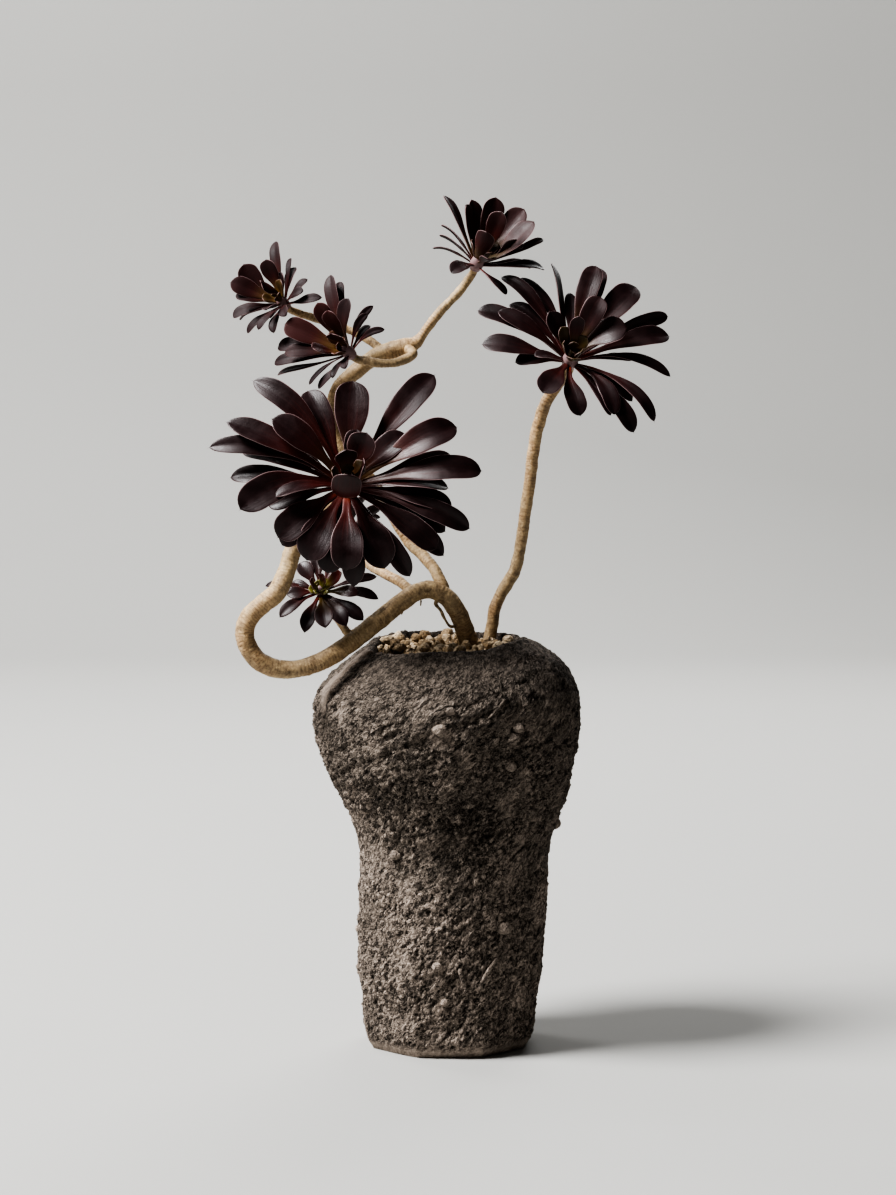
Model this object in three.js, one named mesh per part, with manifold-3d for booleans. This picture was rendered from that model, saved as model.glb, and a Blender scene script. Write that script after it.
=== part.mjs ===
// A dark-leaved aeonium in a tall hand-built stoneware pot, in millimetres, +Z up.
// The origin is the centre of the pot's foot, on the surface it stands on. The front view looks along +Y.
// One looping stem with its branches and one upright stem rise from the grit.
// Each shoot ends in a rosette of leaves.
import * as THREE from "three";
import { mergeVertices } from "three/addons/utils/BufferGeometryUtils.js";
import Module from "manifold-3d";

const wasm = await Module();
wasm.setup();

// ---------------------------------------------------------------- driving dimensions
const POT_SIDES = 28;
const FLOOR_Z = 10; // top of the pot's floor
const SOIL_TOP = 222;
const GRIT_TOP = 229.5; // the bed that the granules stand on
const FIT_GAP = 0.3; // between pieces that touch
const GRANULE = { count: 47, radius: 5.8, rise: 0.8 };
const LEAF_THICKNESS = 1.7;
const CORE_SIDES = 6;
const GOLDEN_ANGLE = THREE.MathUtils.degToRad(137.508);

// Outside of the pot: height, half width, shift to the right, half depth, how eight-sided it is.
const POT_WALL = [
  [0, 44.5, 0.3, 42.5, 1],
  [4, 47.2, 0.3, 45.2, 1],
  [25, 50.5, 0.8, 48.5, 0.7],
  [42, 53.2, 0.8, 51, 0.5],
  [60, 54.2, 1.7, 52, 0.3],
  [90, 54.9, 3.1, 52.8, 0.2],
  [121, 56.2, 3.9, 55.5, 0],
  [130, 58.6, 3.9, 58.5, 0],
  [139, 62, 3.8, 61.5, 0],
  [150, 66.8, 3.1, 65.5, 0],
  [162, 71.4, 1.5, 69.5, 0],
  [174, 74.8, 0.3, 72.5, 0],
  [187, 77, 0.1, 74.5, 0],
  [200, 77.4, -0.3, 75, 0],
  [209, 75.5, 0.3, 73.5, 0],
  [217, 71, 1, 69.2, 0],
  [223.5, 65.6, 1.2, 64, 0],
  [228.5, 60, 0.6, 59, 0],
  [233.5, 52.5, 0.3, 52.5, 0],
  [236, 48, 0, 48.5, 0],
];
// Inside of the pot, from the lip down: height, radius.
const POT_HOLLOW = [
  [235.6, 44],
  [232.5, 42.6],
  [227, 44],
  [218, 52.5],
  [204, 63.5],
  [184, 66],
  [162, 60],
  [128, 47],
  [30, 43],
  [FLOOR_Z, 34],
];
// The lip is a little lower in front than behind. It sags with its shoulder at the left and rises at the
// front right.
const LIP = {
  tilt: 2.2,
  sag: { by: -4.4, at: 195, width: 40 },
  rise: { by: 4.6, at: 326, width: 27 },
  from: 203,
  to: 226,
};

// A fold in the clay runs from the lip down the left shoulder: a groove along these points.
const FOLD = {
  radius: 2.1,
  route: [
    [-41, -15, 233.5],
    [-47.9, -14.4, 230],
    [-51.4, -17.2, 226.9],
    [-56.4, -19.2, 222.9],
    [-61.5, -19.5, 218.6],
    [-64.5, -22.5, 215.1],
    [-65.6, -28.1, 212],
    [-66.4, -33.1, 208.9],
  ],
};

// Pebbles and pellets of clay that stand proud of the wall: turn round the pot (degrees), height, radius.
const KNOBS = [
  [-59, 194, 3.6],
  [-61.5, 188, 4],
  [-62, 172, 3.8],
  [-89, 204.5, 3.2],
  [-93, 194, 4.6],
  [-57, 76, 4.4],
  [-98, 55, 3.4],
  [-93, 34, 3],
  [-2, 130, 4],
  [-128, 118, 3.4],
  [60, 150, 4],
  [128, 92, 3.8],
  [100, 196, 3.6],
  [172, 66, 3.2],
];

// ---------------------------------------------------------------- stems: x, y, z, radius
const LOOPING_STEM = [
  [24, 3, 188, 5.6],
  [18, -1, 212, 5.7],
  [12.2, -4, 233.5, 5.7],
  [9.6, -5, 244, 5.5],
  [5.5, -7, 254.5, 5.4],
  [-0.7, -9, 263, 5.3],
  [-9, -11, 267.5, 5.2],
  [-18.2, -14, 266.5, 5.2],
  [-27.4, -17, 260.5, 5.3],
  [-38.7, -21, 251.7, 5.4],
  [-48.9, -25, 243.8, 5.4],
  [-59, -29, 236.3, 5.4],
  [-69.2, -33, 230.2, 5.3],
  [-81.3, -36, 225.4, 5.2],
  [-92.5, -38, 224.1, 5.2],
  [-102.6, -40, 226.4, 5.4],
  [-110.4, -42, 232.2, 5.4],
  [-114.9, -43, 240.5, 5.4],
  [-115.4, -43, 248.6, 5.5],
  [-111.9, -43, 255.8, 5.5],
  [-105.2, -43, 262, 5.5],
  [-98, -43, 268, 5.5],
  [-93.8, -42, 275.1, 5.3],
  [-91, -40, 283.1, 5.1],
  [-88.5, -37, 291.5, 5],
  [-83, -32, 302, 4.9],
  [-73.5, -29, 311.5, 4.8],
  [-64, -31, 318, 4.8],
];
const UPRIGHT_STEM = [
  [22, 16, 194, 3.9],
  [22.6, 21, 216, 3.8],
  [24.4, 25, 234.4, 3.7],
  [26.2, 26, 244.6, 3.6],
  [27.7, 26, 253.3, 3.6],
  [30.5, 26, 260.6, 3.6],
  [34.8, 25, 268.1, 3.7],
  [38.9, 23, 275.3, 3.7],
  [41.1, 22, 282.5, 3.6],
  [42.5, 21, 290.4, 3.5],
  [43.9, 20, 299.7, 3.5],
  [45.2, 19, 309.8, 3.5],
  [48, 17, 329.9, 3.5],
  [50, 15, 347.5, 3.6],
  [52.9, 13, 362.5, 3.6],
  [57.2, 11, 375.5, 3.5],
];
const TALL_BRANCH = [
  [-1, -10, 262.5, 3.4],
  [-3.8, -7, 271.3, 3.6],
  [-9, -3, 280.3, 3.4],
  [-15.2, 2, 287.2, 3.4],
  [-22.6, 6, 294.3, 3.4],
  [-29.7, 8, 305, 3.4],
  [-37, 10, 318, 3.5],
  [-48.4, 11, 334.7, 3.6],
  [-60.1, 12, 347.5, 3.8],
  [-66.6, 12, 358.6, 4],
  [-67.2, 12, 367.3, 4.1],
  [-66.4, 12, 377, 4.2],
  [-63, 12, 384.6, 4.3],
  [-56.7, 12, 390.7, 4.5],
  [-49.8, 12, 396.5, 4.7],
  [-42, 12, 402, 5],
  [-33, 11.5, 405.4, 5.4],
  [-24.5, 12, 407.6, 5.4],
  [-18.6, 12, 410.2, 3.8],
  [-15.1, 12, 414.2, 2.8],
  [-9.3, 12, 422.2, 2.8],
  [-2.5, 12.5, 430.3, 2.7],
  [5.5, 13.5, 438.4, 2.5],
];
const CURLED_BRANCH = [
  [-24, 10, 407, 3.4],
  [-20.5, 3.5, 403.2, 2.9],
  [-29.8, -2.5, 398.8, 2.7],
  [-39.2, -4.5, 398.2, 2.6],
  [-47, -5, 399.6, 2.5],
];
const LEFT_BRANCH = [
  [-37, 12, 404, 3],
  [-42.5, 15, 409, 2.6],
  [-49.3, 18, 413.2, 2.5],
  [-58, 20, 417.4, 2.4],
  [-69, 20, 421.4, 2.4],
  [-80, 18.5, 425, 2.4],
];
const REAR_BRANCH = [
  [-19, -14, 265.5, 3],
  [-28.6, -6, 272.3, 3],
  [-36.1, 0, 275.9, 2.9],
  [-44, 9, 279.5, 2.8],
  [-51, 18, 284, 2.7],
];
const LOW_BRANCH = [
  [-53, -27, 240.5, 2.6],
  [-57.1, -25.5, 243.5, 2.6],
  [-61.3, -21, 248.5, 2.4],
];
// Aerial roots under the arch.
const AERIAL_ROOTS = [
  [
    [-5, -11, 263.5, 1],
    [-7, -10.5, 259.5, 1],
    [-4.4, -11.5, 256, 0.95],
    [-2.2, -12, 251.5, 0.9],
    [1.2, -10.5, 246.5, 0.9],
    [6, -8, 246.5, 0.9],
  ],
  [
    [-25, -16, 259, 0.8],
    [-27, -16, 253.5, 0.6],
  ],
  [
    [-15.5, -13, 262, 0.7],
    [-15.8, -13, 258.3, 0.5],
  ],
];

// ---------------------------------------------------------------- rosettes
// heart: where the leaves meet; axis: the way the rosette faces.
// core: its radius, and its reach behind and ahead of the heart.
// leaves: each tip as the front view shows it, right and up from the heart, then its rise out of the
// rosette's face, the blade's width, a roll in degrees where the blade is turned about its midline, a sweep
// of its middle to the clockwise side, and its arch as a share of its length where it isn't the usual one.
// bud: the young leaves that stand up round the heart, by the golden angle.
const ROSETTES = {
  rosette_large: {
    heart: [-56.7, -56, 332],
    axis: [0.08, -0.87, 0.48],
    core: [6.4, 10, 6],
    bud: { count: 7, reach: 17, width: 9, phase: 0.6 },
    leaves: [
      [-55, 57, 9, 14, -10, 6],
      [-23.5, 51.5, 4, 16],
      [3, 57.5, 15, 20.5],
      [50, 60.5, 9, 17, 0, -2, 0.03],
      [63, 31, 17, 18],
      [61, 13, 7, 14, 0, 2],
      [77, 6, 10, 16],
      [60, -15, -3, 13],
      [70, -27, -6, 12.5, 20],
      [56, -29, -14, 14],
      [51, -38, -6, 15],
      [55, -42.5, -16, 13],
      [36, -53.5, -14, 12, 10, 1],
      [21.5, -49, -10, 20],
      [0, -49.5, -7, 19],
      [4, -59.5, -20, 14],
      [-22.5, -44, -8, 20],
      [-11, -51.5, -17, 16],
      [-39, -31, -4, 18, -12],
      [-37, -36, -14, 15],
      [-60, -15.5, 4, 19, -12, 8],
      [-67, 2, -7, 12],
      [-60, 16, 0, 11, 20],
      [-79, 19, 4, 11.5, -10, 5.5],
      [-69, 34, 11, 15, 10, 1],
      [-43, 36, 17, 17, 0, 2],
      [-39, 19, -3, 12],
      [-40, -8, 7, 12, 34, 2],
      [-44.5, -14, -5, 11],
      [58, -4, 3, 12, -24],
      [34, 27, 12, 15],
      [5.5, 30, 12, 12],
      [11.5, 28.5, 20, 17],
      [0, 19, 24, 13.5],
      [10.5, 11, 26, 11.5],
      [1.5, 6.5, 33, 17.5, 0, 0, -0.36],
    ],
  },
  rosette_right: {
    heart: [71, -3, 401.5],
    axis: [0.15, -0.8, 0.58],
    core: [5, 8, 5],
    bud: { count: 7, reach: 20, width: 9.5, phase: 2.1 },
    leaves: [
      [-52.5, 7.5, 1, 13.5, 0, -1],
      [-55, 27, 3, 13, 0, 2],
      [-43, 27, 9, 12],
      [-36, 31, 0, 11, 0, 1],
      [-41, 47, 5, 10, 0, 2],
      [-30.5, 46.5, 0, 10, 12, 4],
      [-10.5, 55, 6, 9, 55, -1],
      [15.5, 53.8, 17, 13.5, -8, -1.5],
      [17, 53, 7, 15],
      [40, 41, 8, 17],
      [58.5, 24, 3, 9, 30, -1],
      [59, 12, 0, 14],
      [59, -12, -5, 6.5, 15, -6],
      [36.5, -2, -8, 5.5],
      [48, -38, -6, 8, 0, -5],
      [36, -26, -10, 10],
      [36, -44, -8, 12],
      [24, -33.5, 1, 11, 0, -5],
      [22.5, -34, -3, 6],
      [5, -34, -2, 12.5, 0, 3.5],
      [-17.5, -20.5, 5, 15],
      [-33, -3, -2, 10],
      [-22, 1, 5, 9, 20],
      [33, 17, 15, 17, 0, -3],
      [-13, 27, 17, 12],
      [0, 38, 4, 8],
      [17.5, 35.5, 22, 14],
      [4, 24, 24, 9],
    ],
  },
  rosette_top: {
    heart: [17.4, 12, 457.5],
    axis: [0.34, -0.52, 0.78],
    core: [4.2, 6, 4],
    bud: { count: 5, reach: 16, width: 8, phase: 0.2 },
    leaves: [
      [-20.5, 38.5, 18, 8, 10, -1.5],
      [-22, 21, 6, 6, 30],
      [-23, 15, 2, 6, 35],
      [-27, 7, -2, 6, 30],
      [-16, -8, -1, 10],
      [17, -20, -6, 6.5, 0, 3],
      [39, -5, 4, 9, 0, 4],
      [31, -4, -2, 8, 0, 1],
      [39, 13, 11, 4.5, 30, 5],
      [-4, 36, 25, 10.5, 0, 1],
      [-7, 32.5, 28, 9, 0, 2],
      [10.5, 37.5, 30, 13.5, 0, 1],
      [27.5, 30.5, 30, 14],
      [33, 23, 30, 14.5, 0, 3],
      [14, 28, 33, 12],
      [5, 16, 26, 12],
      [27, 8, 14, 14, -70],
      [6, 0, 14, 8],
      [-4, 27, 4, 10],
      [12, 29, 6, 10],
      [30, 22, 6, 10],
    ],
  },
  rosette_upper_left: {
    heart: [-97, 11, 434],
    axis: [-0.55, -0.66, 0.5],
    core: [3.6, 6, 3.5],
    bud: { count: 4, reach: 14, width: 7.5, phase: 1.2 },
    leaves: [
      [-3.5, 35.5, 12, 8, 0, 1],
      [-8.5, 24.5, 20, 11.5],
      [-22, 22, 22, 13, 0, -3],
      [-30, 11, 22, 12],
      [-27, 3, 16, 9],
      [-29, -9, 6, 9, 0, 0.5],
      [-25, -11, -1, 6, 30],
      [-20, -19, 0, 6],
      [-13, -17, 5, 6, 0, -1],
      [-3.5, -19, 1, 7],
      [-6.6, -10, 2, 5],
      [16, 13, 0, 6, 0, 1.5],
      [14, 6, 4, 7],
      [25, 2, -4, 6.5, 0, 2],
      [5.5, 25.6, 5, 3.5, 10, 3],
      [9, 20, 2, 8],
      [-11, 11, 21, 10],
      [-8, -5, 14, 8],
      [0.5, 17, 12, 8],
      [4, -9, 6, 7],
    ],
  },
  rosette_middle_left: {
    heart: [-58.2, -10, 405.4],
    axis: [-0.52, -0.72, 0.46],
    core: [4, 6, 4],
    bud: { count: 4, reach: 15, width: 8, phase: 2.4 },
    leaves: [
      [-9.7, 44.4, 16, 9],
      [-4.3, 40.4, 8, 7.5, 20],
      [1.5, 30.5, 14, 10, 0, -3],
      [-17, 28, 24, 11],
      [-11, 23.5, 24, 10],
      [-36.5, 15.5, 23, 14],
      [-41, 2, 10, 9.5],
      [-36.5, -1.5, 17, 9],
      [-43, -7.7, 9, 8, 0, -1.5],
      [-41.5, -14.5, 0, 5, 15, -4],
      [-22, -20, 2, 3.5, 0, 1],
      [-16.8, -22.2, -3, 5.5, 0, -2.5],
      [-8, -16, 5, 5],
      [15.8, 26.2, 1, 5, 40, -1.5],
      [12.5, 21.5, 4, 5, 40, -1],
      [14, 14.5, -4, 6],
      [22.8, 12.2, 2, 4.5, 30, -1.5],
      [-9, 10, 18, 10],
      [-20, 2, 20, 9],
      [-0.5, -10.5, 4, 6],
    ],
  },
  rosette_low: {
    heart: [-73.5, -21, 268.4],
    axis: [-0.05, -0.84, 0.54],
    core: [3.2, 5.5, 3],
    bud: { count: 5, reach: 11, width: 6.5, phase: 0.9 },
    leaves: [
      [-32.7, 1.2, -6, 5, 0, 1],
      [-19.3, -3, 2, 8.5],
      [-16.5, 4, -3, 5],
      [-23.2, -15.6, 1, 8, 0, 1],
      [-8.5, -23.8, 3, 9],
      [3.8, -20.7, 6, 11],
      [16, -20, 4, 10],
      [25.7, -17, 0, 9],
      [34.2, -5.5, -2, 7, 0, -1.5],
      [23.3, -2, 7, 8],
      [33, 7, -5, 6],
      [13, 11, 14, 9],
      [-12.5, 15, 0, 10],
      [-3, 19, -2, 8],
      [10, 17, -2, 9],
      [-5.5, 6, 12, 7],
      [2, 10, 14, 7],
    ],
  },
  rosette_rear: {
    heart: [-62, 33, 296],
    axis: [-0.35, 0.62, 0.7],
    core: [3.2, 5.5, 3],
    bud: { count: 4, reach: 12, width: 7, phase: 0.4 },
    ring: { count: 11, reach: 27, width: 9, lift: 14 },
    leaves: [],
  },
};

// ---------------------------------------------------------------- helpers
const vec = (p) => new THREE.Vector3(p[0], p[1], p[2]);
const chance = (n) => THREE.MathUtils.euclideanModulo(Math.sin(n * 127.1 + 311.7) * 43758.5453, 1);
const smooth = (a, b, x) => THREE.MathUtils.smoothstep(x, a, b);

// A closed skin over rings of points; a ring of one point is a pole, and an open end gets a flat fan.
function loft(rings) {
  const position = [];
  const index = [];
  const starts = rings.map((ring) => {
    const start = position.length / 3;
    ring.forEach((p) => position.push(p.x, p.y, p.z));
    return start;
  });
  for (let i = 0; i + 1 < rings.length; i++) {
    const a = starts[i];
    const b = starts[i + 1];
    const na = rings[i].length;
    const nb = rings[i + 1].length;
    for (let j = 0; j < Math.max(na, nb); j++) {
      const k = (j + 1) % Math.max(na, nb);
      if (nb === 1) index.push(a + j, a + k, b);
      else if (na === 1) index.push(a, b + k, b + j);
      else index.push(a + j, b + k, b + j, a + j, a + k, b + k);
    }
  }
  const cap = (start, n, turn) => {
    for (let j = 1; j + 1 < n; j++) index.push(start, start + (turn ? j : j + 1), start + (turn ? j + 1 : j));
  };
  cap(starts[0], rings[0].length, false);
  cap(starts.at(-1), rings.at(-1).length, true);
  const geometry = new THREE.BufferGeometry();
  geometry.setAttribute("position", new THREE.Float32BufferAttribute(position, 3));
  geometry.setIndex(index);
  return geometry;
}

// A closed geometry as a solid, turned the right way out.
function solid(geometry) {
  const bare = geometry.clone();
  bare.deleteAttribute("normal");
  bare.deleteAttribute("uv");
  const merged = mergeVertices(bare, 1e-4);
  const build = (index) =>
    new wasm.Manifold(
      new wasm.Mesh({
        numProp: 3,
        vertProperties: Float32Array.from(merged.attributes.position.array),
        triVerts: index,
      }),
    );
  const index = Uint32Array.from(merged.index.array);
  const made = build(index);
  if (made.volume() > 0) return made;
  for (let i = 0; i < index.length; i += 3) [index[i + 1], index[i + 2]] = [index[i + 2], index[i + 1]];
  return build(index);
}

// The largest body of a solid as a geometry: a loose scrap is dropped.
function geometryOf(shape) {
  const body = shape.decompose().sort((a, b) => b.volume() - a.volume())[0];
  const mesh = body.getMesh();
  const geometry = new THREE.BufferGeometry();
  geometry.setAttribute("position", new THREE.Float32BufferAttribute(mesh.vertProperties, 3));
  geometry.setIndex([...mesh.triVerts]);
  geometry.computeVertexNormals();
  return geometry;
}

const fuse = (shapes) => shapes.reduce((all, next) => all.add(next));

// A round stem through points with their own radii; extra thickens it all round.
function stem(route, sides, step, extra = 0) {
  const line = new THREE.CatmullRomCurve3(route.map(vec), false, "centripetal");
  const girth = new THREE.CatmullRomCurve3(
    route.map((p) => new THREE.Vector3(p[3], 0, 0)),
    false,
    "centripetal",
  );
  const steps = Math.max(3, Math.round(line.getLength() / step));
  const { normals, binormals } = line.computeFrenetFrames(steps, false);
  const rings = [];
  for (let i = 0; i <= steps; i++) {
    const t = line.getUtoTmapping(i / steps);
    const centre = line.getPoint(t);
    const radius = girth.getPoint(t).x + extra;
    rings.push(
      Array.from({ length: sides }, (_, j) => {
        const turn = (2 * Math.PI * j) / sides;
        return centre
          .clone()
          .addScaledVector(normals[i], radius * Math.cos(turn))
          .addScaledVector(binormals[i], radius * Math.sin(turn));
      }),
    );
  }
  return solid(loft(rings));
}

// ---------------------------------------------------------------- pot
function lipShift(turn, z) {
  const local = ({ by, at, width }) => {
    const away = THREE.MathUtils.euclideanModulo(THREE.MathUtils.radToDeg(turn) - at + 180, 360) - 180;
    return by * Math.exp(-((away / width) ** 2));
  };
  return smooth(LIP.from, LIP.to, z) * (LIP.tilt * Math.sin(turn) + local(LIP.sag) + local(LIP.rise));
}

// Coarse relief of the wall: slow swellings and a rough skin, in mm.
function wallRelief(turn, z, seed) {
  const swell = 0.9 * Math.sin(3 * turn + 0.03 * z) + 0.7 * Math.sin(5 * turn - 0.045 * z + 1.3);
  return smooth(2, 20, z) * (0.6 * swell + 1.5 * (chance(seed) - 0.5));
}

function potRing(z, halfWidth, shift, halfDepth, facet, rough) {
  return Array.from({ length: POT_SIDES }, (_, j) => {
    const turn = (2 * Math.PI * j) / POT_SIDES;
    const off = THREE.MathUtils.euclideanModulo(turn + Math.PI / 8, Math.PI / 4) - Math.PI / 8;
    const grow = 1 + facet * (1 / Math.cos(off) - 1);
    const relief = rough ? wallRelief(turn, z, j * 37 + z) : 0;
    return new THREE.Vector3(
      shift + (halfWidth * grow + relief) * Math.cos(turn),
      (halfDepth * grow + relief) * Math.sin(turn),
      z + lipShift(turn, z),
    );
  });
}

function wallPoint(degrees, height) {
  const turn = THREE.MathUtils.degToRad(degrees);
  const above = POT_WALL.findIndex((row) => row[0] >= height);
  const [low, high] = [POT_WALL[above - 1], POT_WALL[above]];
  const mix = (k) => THREE.MathUtils.mapLinear(height, low[0], high[0], low[k], high[k]);
  return new THREE.Vector3(mix(2) + mix(1) * Math.cos(turn), mix(3) * Math.sin(turn), height);
}

function makePot() {
  const outside = POT_WALL.map((row) => potRing(...row, row[0] < POT_WALL.at(-1)[0]));
  const inside = POT_HOLLOW.map(([z, r]) => potRing(z, r, 0, r, 0, false));
  const body = solid(
    loft([[new THREE.Vector3()], ...outside, ...inside, [new THREE.Vector3(0, 0, FLOOR_Z)]]),
  );
  const knobs = KNOBS.map(([degrees, height, radius]) => {
    const knob = new THREE.IcosahedronGeometry(radius, 0);
    const at = wallPoint(degrees, height).multiplyScalar(0.99).setZ(height);
    return solid(knob.scale(1, 1, 0.85).translate(at.x, at.y, at.z));
  });
  const fold = stem(
    FOLD.route.map((p) => [...p, FOLD.radius]),
    6,
    9,
  );
  return fuse([body, ...knobs]).subtract(fold);
}

// ---------------------------------------------------------------- soil and grit
// What fills the hollow between two heights, a fit gap inside its wall.
function filling(from, to) {
  const within = POT_HOLLOW.filter(([z]) => z > from && z < to).reverse();
  const radiusAt = (height) => {
    const below = POT_HOLLOW.findIndex(([z]) => z <= height);
    const [high, low] = [POT_HOLLOW[below - 1], POT_HOLLOW[below]];
    return THREE.MathUtils.mapLinear(height, low[0], high[0], low[1], high[1]);
  };
  const rows = [[from, radiusAt(from)], ...within, [to, radiusAt(to)]];
  const rings = rows.map(([z, r]) => potRing(z, r - 2 * FIT_GAP, 0, r - 2 * FIT_GAP, 0, false));
  const poles = [from, to].map((z) => [new THREE.Vector3(0, 0, z)]);
  return solid(loft([poles[0], ...rings, poles[1]]));
}

// Granules of pumice laid in a sunflower spiral on the bed, larger than life so that they cover it.
function makeGrit() {
  const reach = POT_HOLLOW[1][1] - GRANULE.radius;
  const granules = Array.from({ length: GRANULE.count }, (_, i) => {
    const far = reach * Math.sqrt((i + 0.5) / GRANULE.count);
    const turn = i * GOLDEN_ANGLE;
    const size = GRANULE.radius * (0.75 + 0.45 * chance(i));
    return solid(
      new THREE.OctahedronGeometry(size, 0)
        .scale(1, 0.85 + 0.3 * chance(i + 500), 0.85)
        .rotateX(6 * chance(i + 100))
        .rotateZ(6 * chance(i + 200))
        .translate(far * Math.cos(turn), far * Math.sin(turn), GRIT_TOP + GRANULE.rise * chance(i + 300)),
    );
  });
  return fuse([filling(SOIL_TOP + FIT_GAP, GRIT_TOP), ...granules]);
}

// ---------------------------------------------------------------- leaves and rosettes
// A spoon-shaped blade: narrow stalk, widest near the end, closed round; a share of its full width.
const STALK_SHARE = 0.22;
const WIDEST_AT = 0.8;
function bladeWidth(s) {
  const stalk = STALK_SHARE * (0.5 + 0.5 * smooth(0, 0.3, s));
  const spread = stalk + (1 - STALK_SHARE) * smooth(0.2, WIDEST_AT, s);
  const past = Math.max(0, (s - WIDEST_AT) / (1 - WIDEST_AT));
  return Math.min(1, spread) * (1 - past ** 2.6) ** 0.46;
}

const LEAF_STATIONS = [0, 0.4, 0.74, 0.95];
const LEAF_BOW = 0.09; // arch of a leaf that lies open, as a share of its length
const LEAF_CUP = 0.14; // rise of the edges over the midrib, as a share of the width

// The turned-out axes of a rosette.
function facing(axis) {
  const out = vec(axis).normalize();
  return { out };
}

// The tip of a listed leaf: right and up as seen from the front, and rise along the axis.
function tipOf(heart, out, [right, up, rise]) {
  const away = (rise - right * out.x - up * out.z) / out.y;
  return heart.clone().add(new THREE.Vector3(right, away, up));
}

function makeLeaf(heart, out, core, tip, width, rollDegrees, sweep, bowShare) {
  const reach = tip.clone().sub(heart);
  const lift = Math.asin(THREE.MathUtils.clamp(reach.dot(out) / reach.length(), -1, 1));
  const open = 1 - smooth(0.15, 1.2, lift);
  const radial = reach.clone().addScaledVector(out, -reach.dot(out)).normalize();
  const height = THREE.MathUtils.lerp(core[2] * 0.5, -core[1] * 0.55, open);
  const root = heart
    .clone()
    .addScaledVector(out, height)
    .addScaledVector(radial, core[0] * 0.3);
  const chord = tip.clone().sub(root);
  const face = (along) => {
    const rise = along.dot(out);
    const run = along.dot(radial);
    return out.clone().multiplyScalar(run).addScaledVector(radial, -rise).normalize();
  };
  const bow = chord.length() * (bowShare ?? THREE.MathUtils.lerp(-0.1, LEAF_BOW, open));
  const middle = root
    .clone()
    .addScaledVector(chord, 0.5)
    .addScaledVector(face(chord), 2 * bow)
    .addScaledVector(chord.clone().cross(face(chord)).normalize(), 2 * sweep);
  const line = new THREE.QuadraticBezierCurve3(root, middle, tip);
  const roll = THREE.MathUtils.degToRad(rollDegrees);
  const rings = LEAF_STATIONS.map((s) => {
    const along = line.getTangent(s);
    const up = face(along).applyAxisAngle(along, roll * smooth(0.1, 0.7, s));
    const side = along.clone().cross(up).normalize();
    const half = (width * bladeWidth(s)) / 2;
    const thick = LEAF_THICKNESS * (0.75 + 0.25 * (1 - s));
    const at = (across, over) =>
      line.getPoint(s).addScaledVector(side, across).addScaledVector(up, over);
    const edge = 2 * half * LEAF_CUP;
    return [at(-half, edge), at(0, -thick / 2), at(half, edge), at(0, thick / 2)];
  });
  return solid(loft([...rings, [tip]]));
}

function makeRosette({ heart, axis, core, bud, ring, leaves }) {
  const { out } = facing(axis);
  const centre = vec(heart);
  const right = new THREE.Vector3(0, 0, 1).cross(out).normalize();
  const up = out.clone().cross(right);
  const [radius, behind, ahead] = core;
  const shapes = [];
  // The stem's tip: a short blunt cone that every leaf is rooted in.
  const profile = [
    [radius * 0.75, -behind],
    [radius, -behind * 0.4],
    [radius * 0.8, ahead * 0.4],
    [radius * 0.35, ahead],
  ];
  const coreRings = profile.map(([r, h]) =>
    Array.from({ length: CORE_SIDES }, (_, j) => {
      const turn = (2 * Math.PI * j) / CORE_SIDES;
      return centre
        .clone()
        .addScaledVector(out, h)
        .addScaledVector(right, r * Math.cos(turn))
        .addScaledVector(up, r * Math.sin(turn));
    }),
  );
  shapes.push(solid(loft(coreRings)));
  const place = (turn, lift, reach, width, roll) => {
    const tip = centre
      .clone()
      .addScaledVector(right, reach * Math.cos(lift) * Math.cos(turn))
      .addScaledVector(up, reach * Math.cos(lift) * Math.sin(turn))
      .addScaledVector(out, reach * Math.sin(lift));
    shapes.push(makeLeaf(centre, out, core, tip, width, roll, 0));
  };
  for (let i = 0; i < (ring?.count ?? 0); i++) {
    const turn = i * GOLDEN_ANGLE;
    const lift = THREE.MathUtils.degToRad(ring.lift * (2 * chance(i + 40) - 0.4));
    place(turn, lift, ring.reach * (0.85 + 0.25 * chance(i + 60)), ring.width, 20 * chance(i) - 10);
  }
  leaves.forEach((row) => {
    const [width, roll = 0, sweep = 0, bowShare] = row.slice(3);
    shapes.push(makeLeaf(centre, out, core, tipOf(centre, out, row), width, roll, sweep, bowShare));
  });
  for (let i = 0; i < bud.count; i++) {
    const young = i / bud.count;
    const lift = THREE.MathUtils.degToRad(46 + 34 * young);
    const turn = bud.phase + i * GOLDEN_ANGLE;
    place(turn, lift, bud.reach * (1 - 0.62 * young), bud.width * (1 - 0.45 * young), 0);
  }
  return fuse(shapes).simplify(0.1);
}

// The end of a shoot: it turns into the rosette's axis and stops a fit gap short of its core.
function shootTo(name, radius) {
  const { heart, axis, core } = ROSETTES[name];
  const { out } = facing(axis);
  const end = vec(heart).addScaledVector(out, -core[1] - FIT_GAP);
  const before = end.clone().addScaledVector(out, -1.6 * radius);
  return [
    [...before, radius],
    [...end, radius * 0.96],
  ];
}

// ---------------------------------------------------------------- assembly
const group = new THREE.Group();

function addPiece(name, shape, color, roughness) {
  const material = new THREE.MeshStandardMaterial({ color, roughness, metalness: 0 });
  const mesh = new THREE.Mesh(geometryOf(shape), material);
  mesh.name = name;
  group.add(mesh);
}

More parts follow.
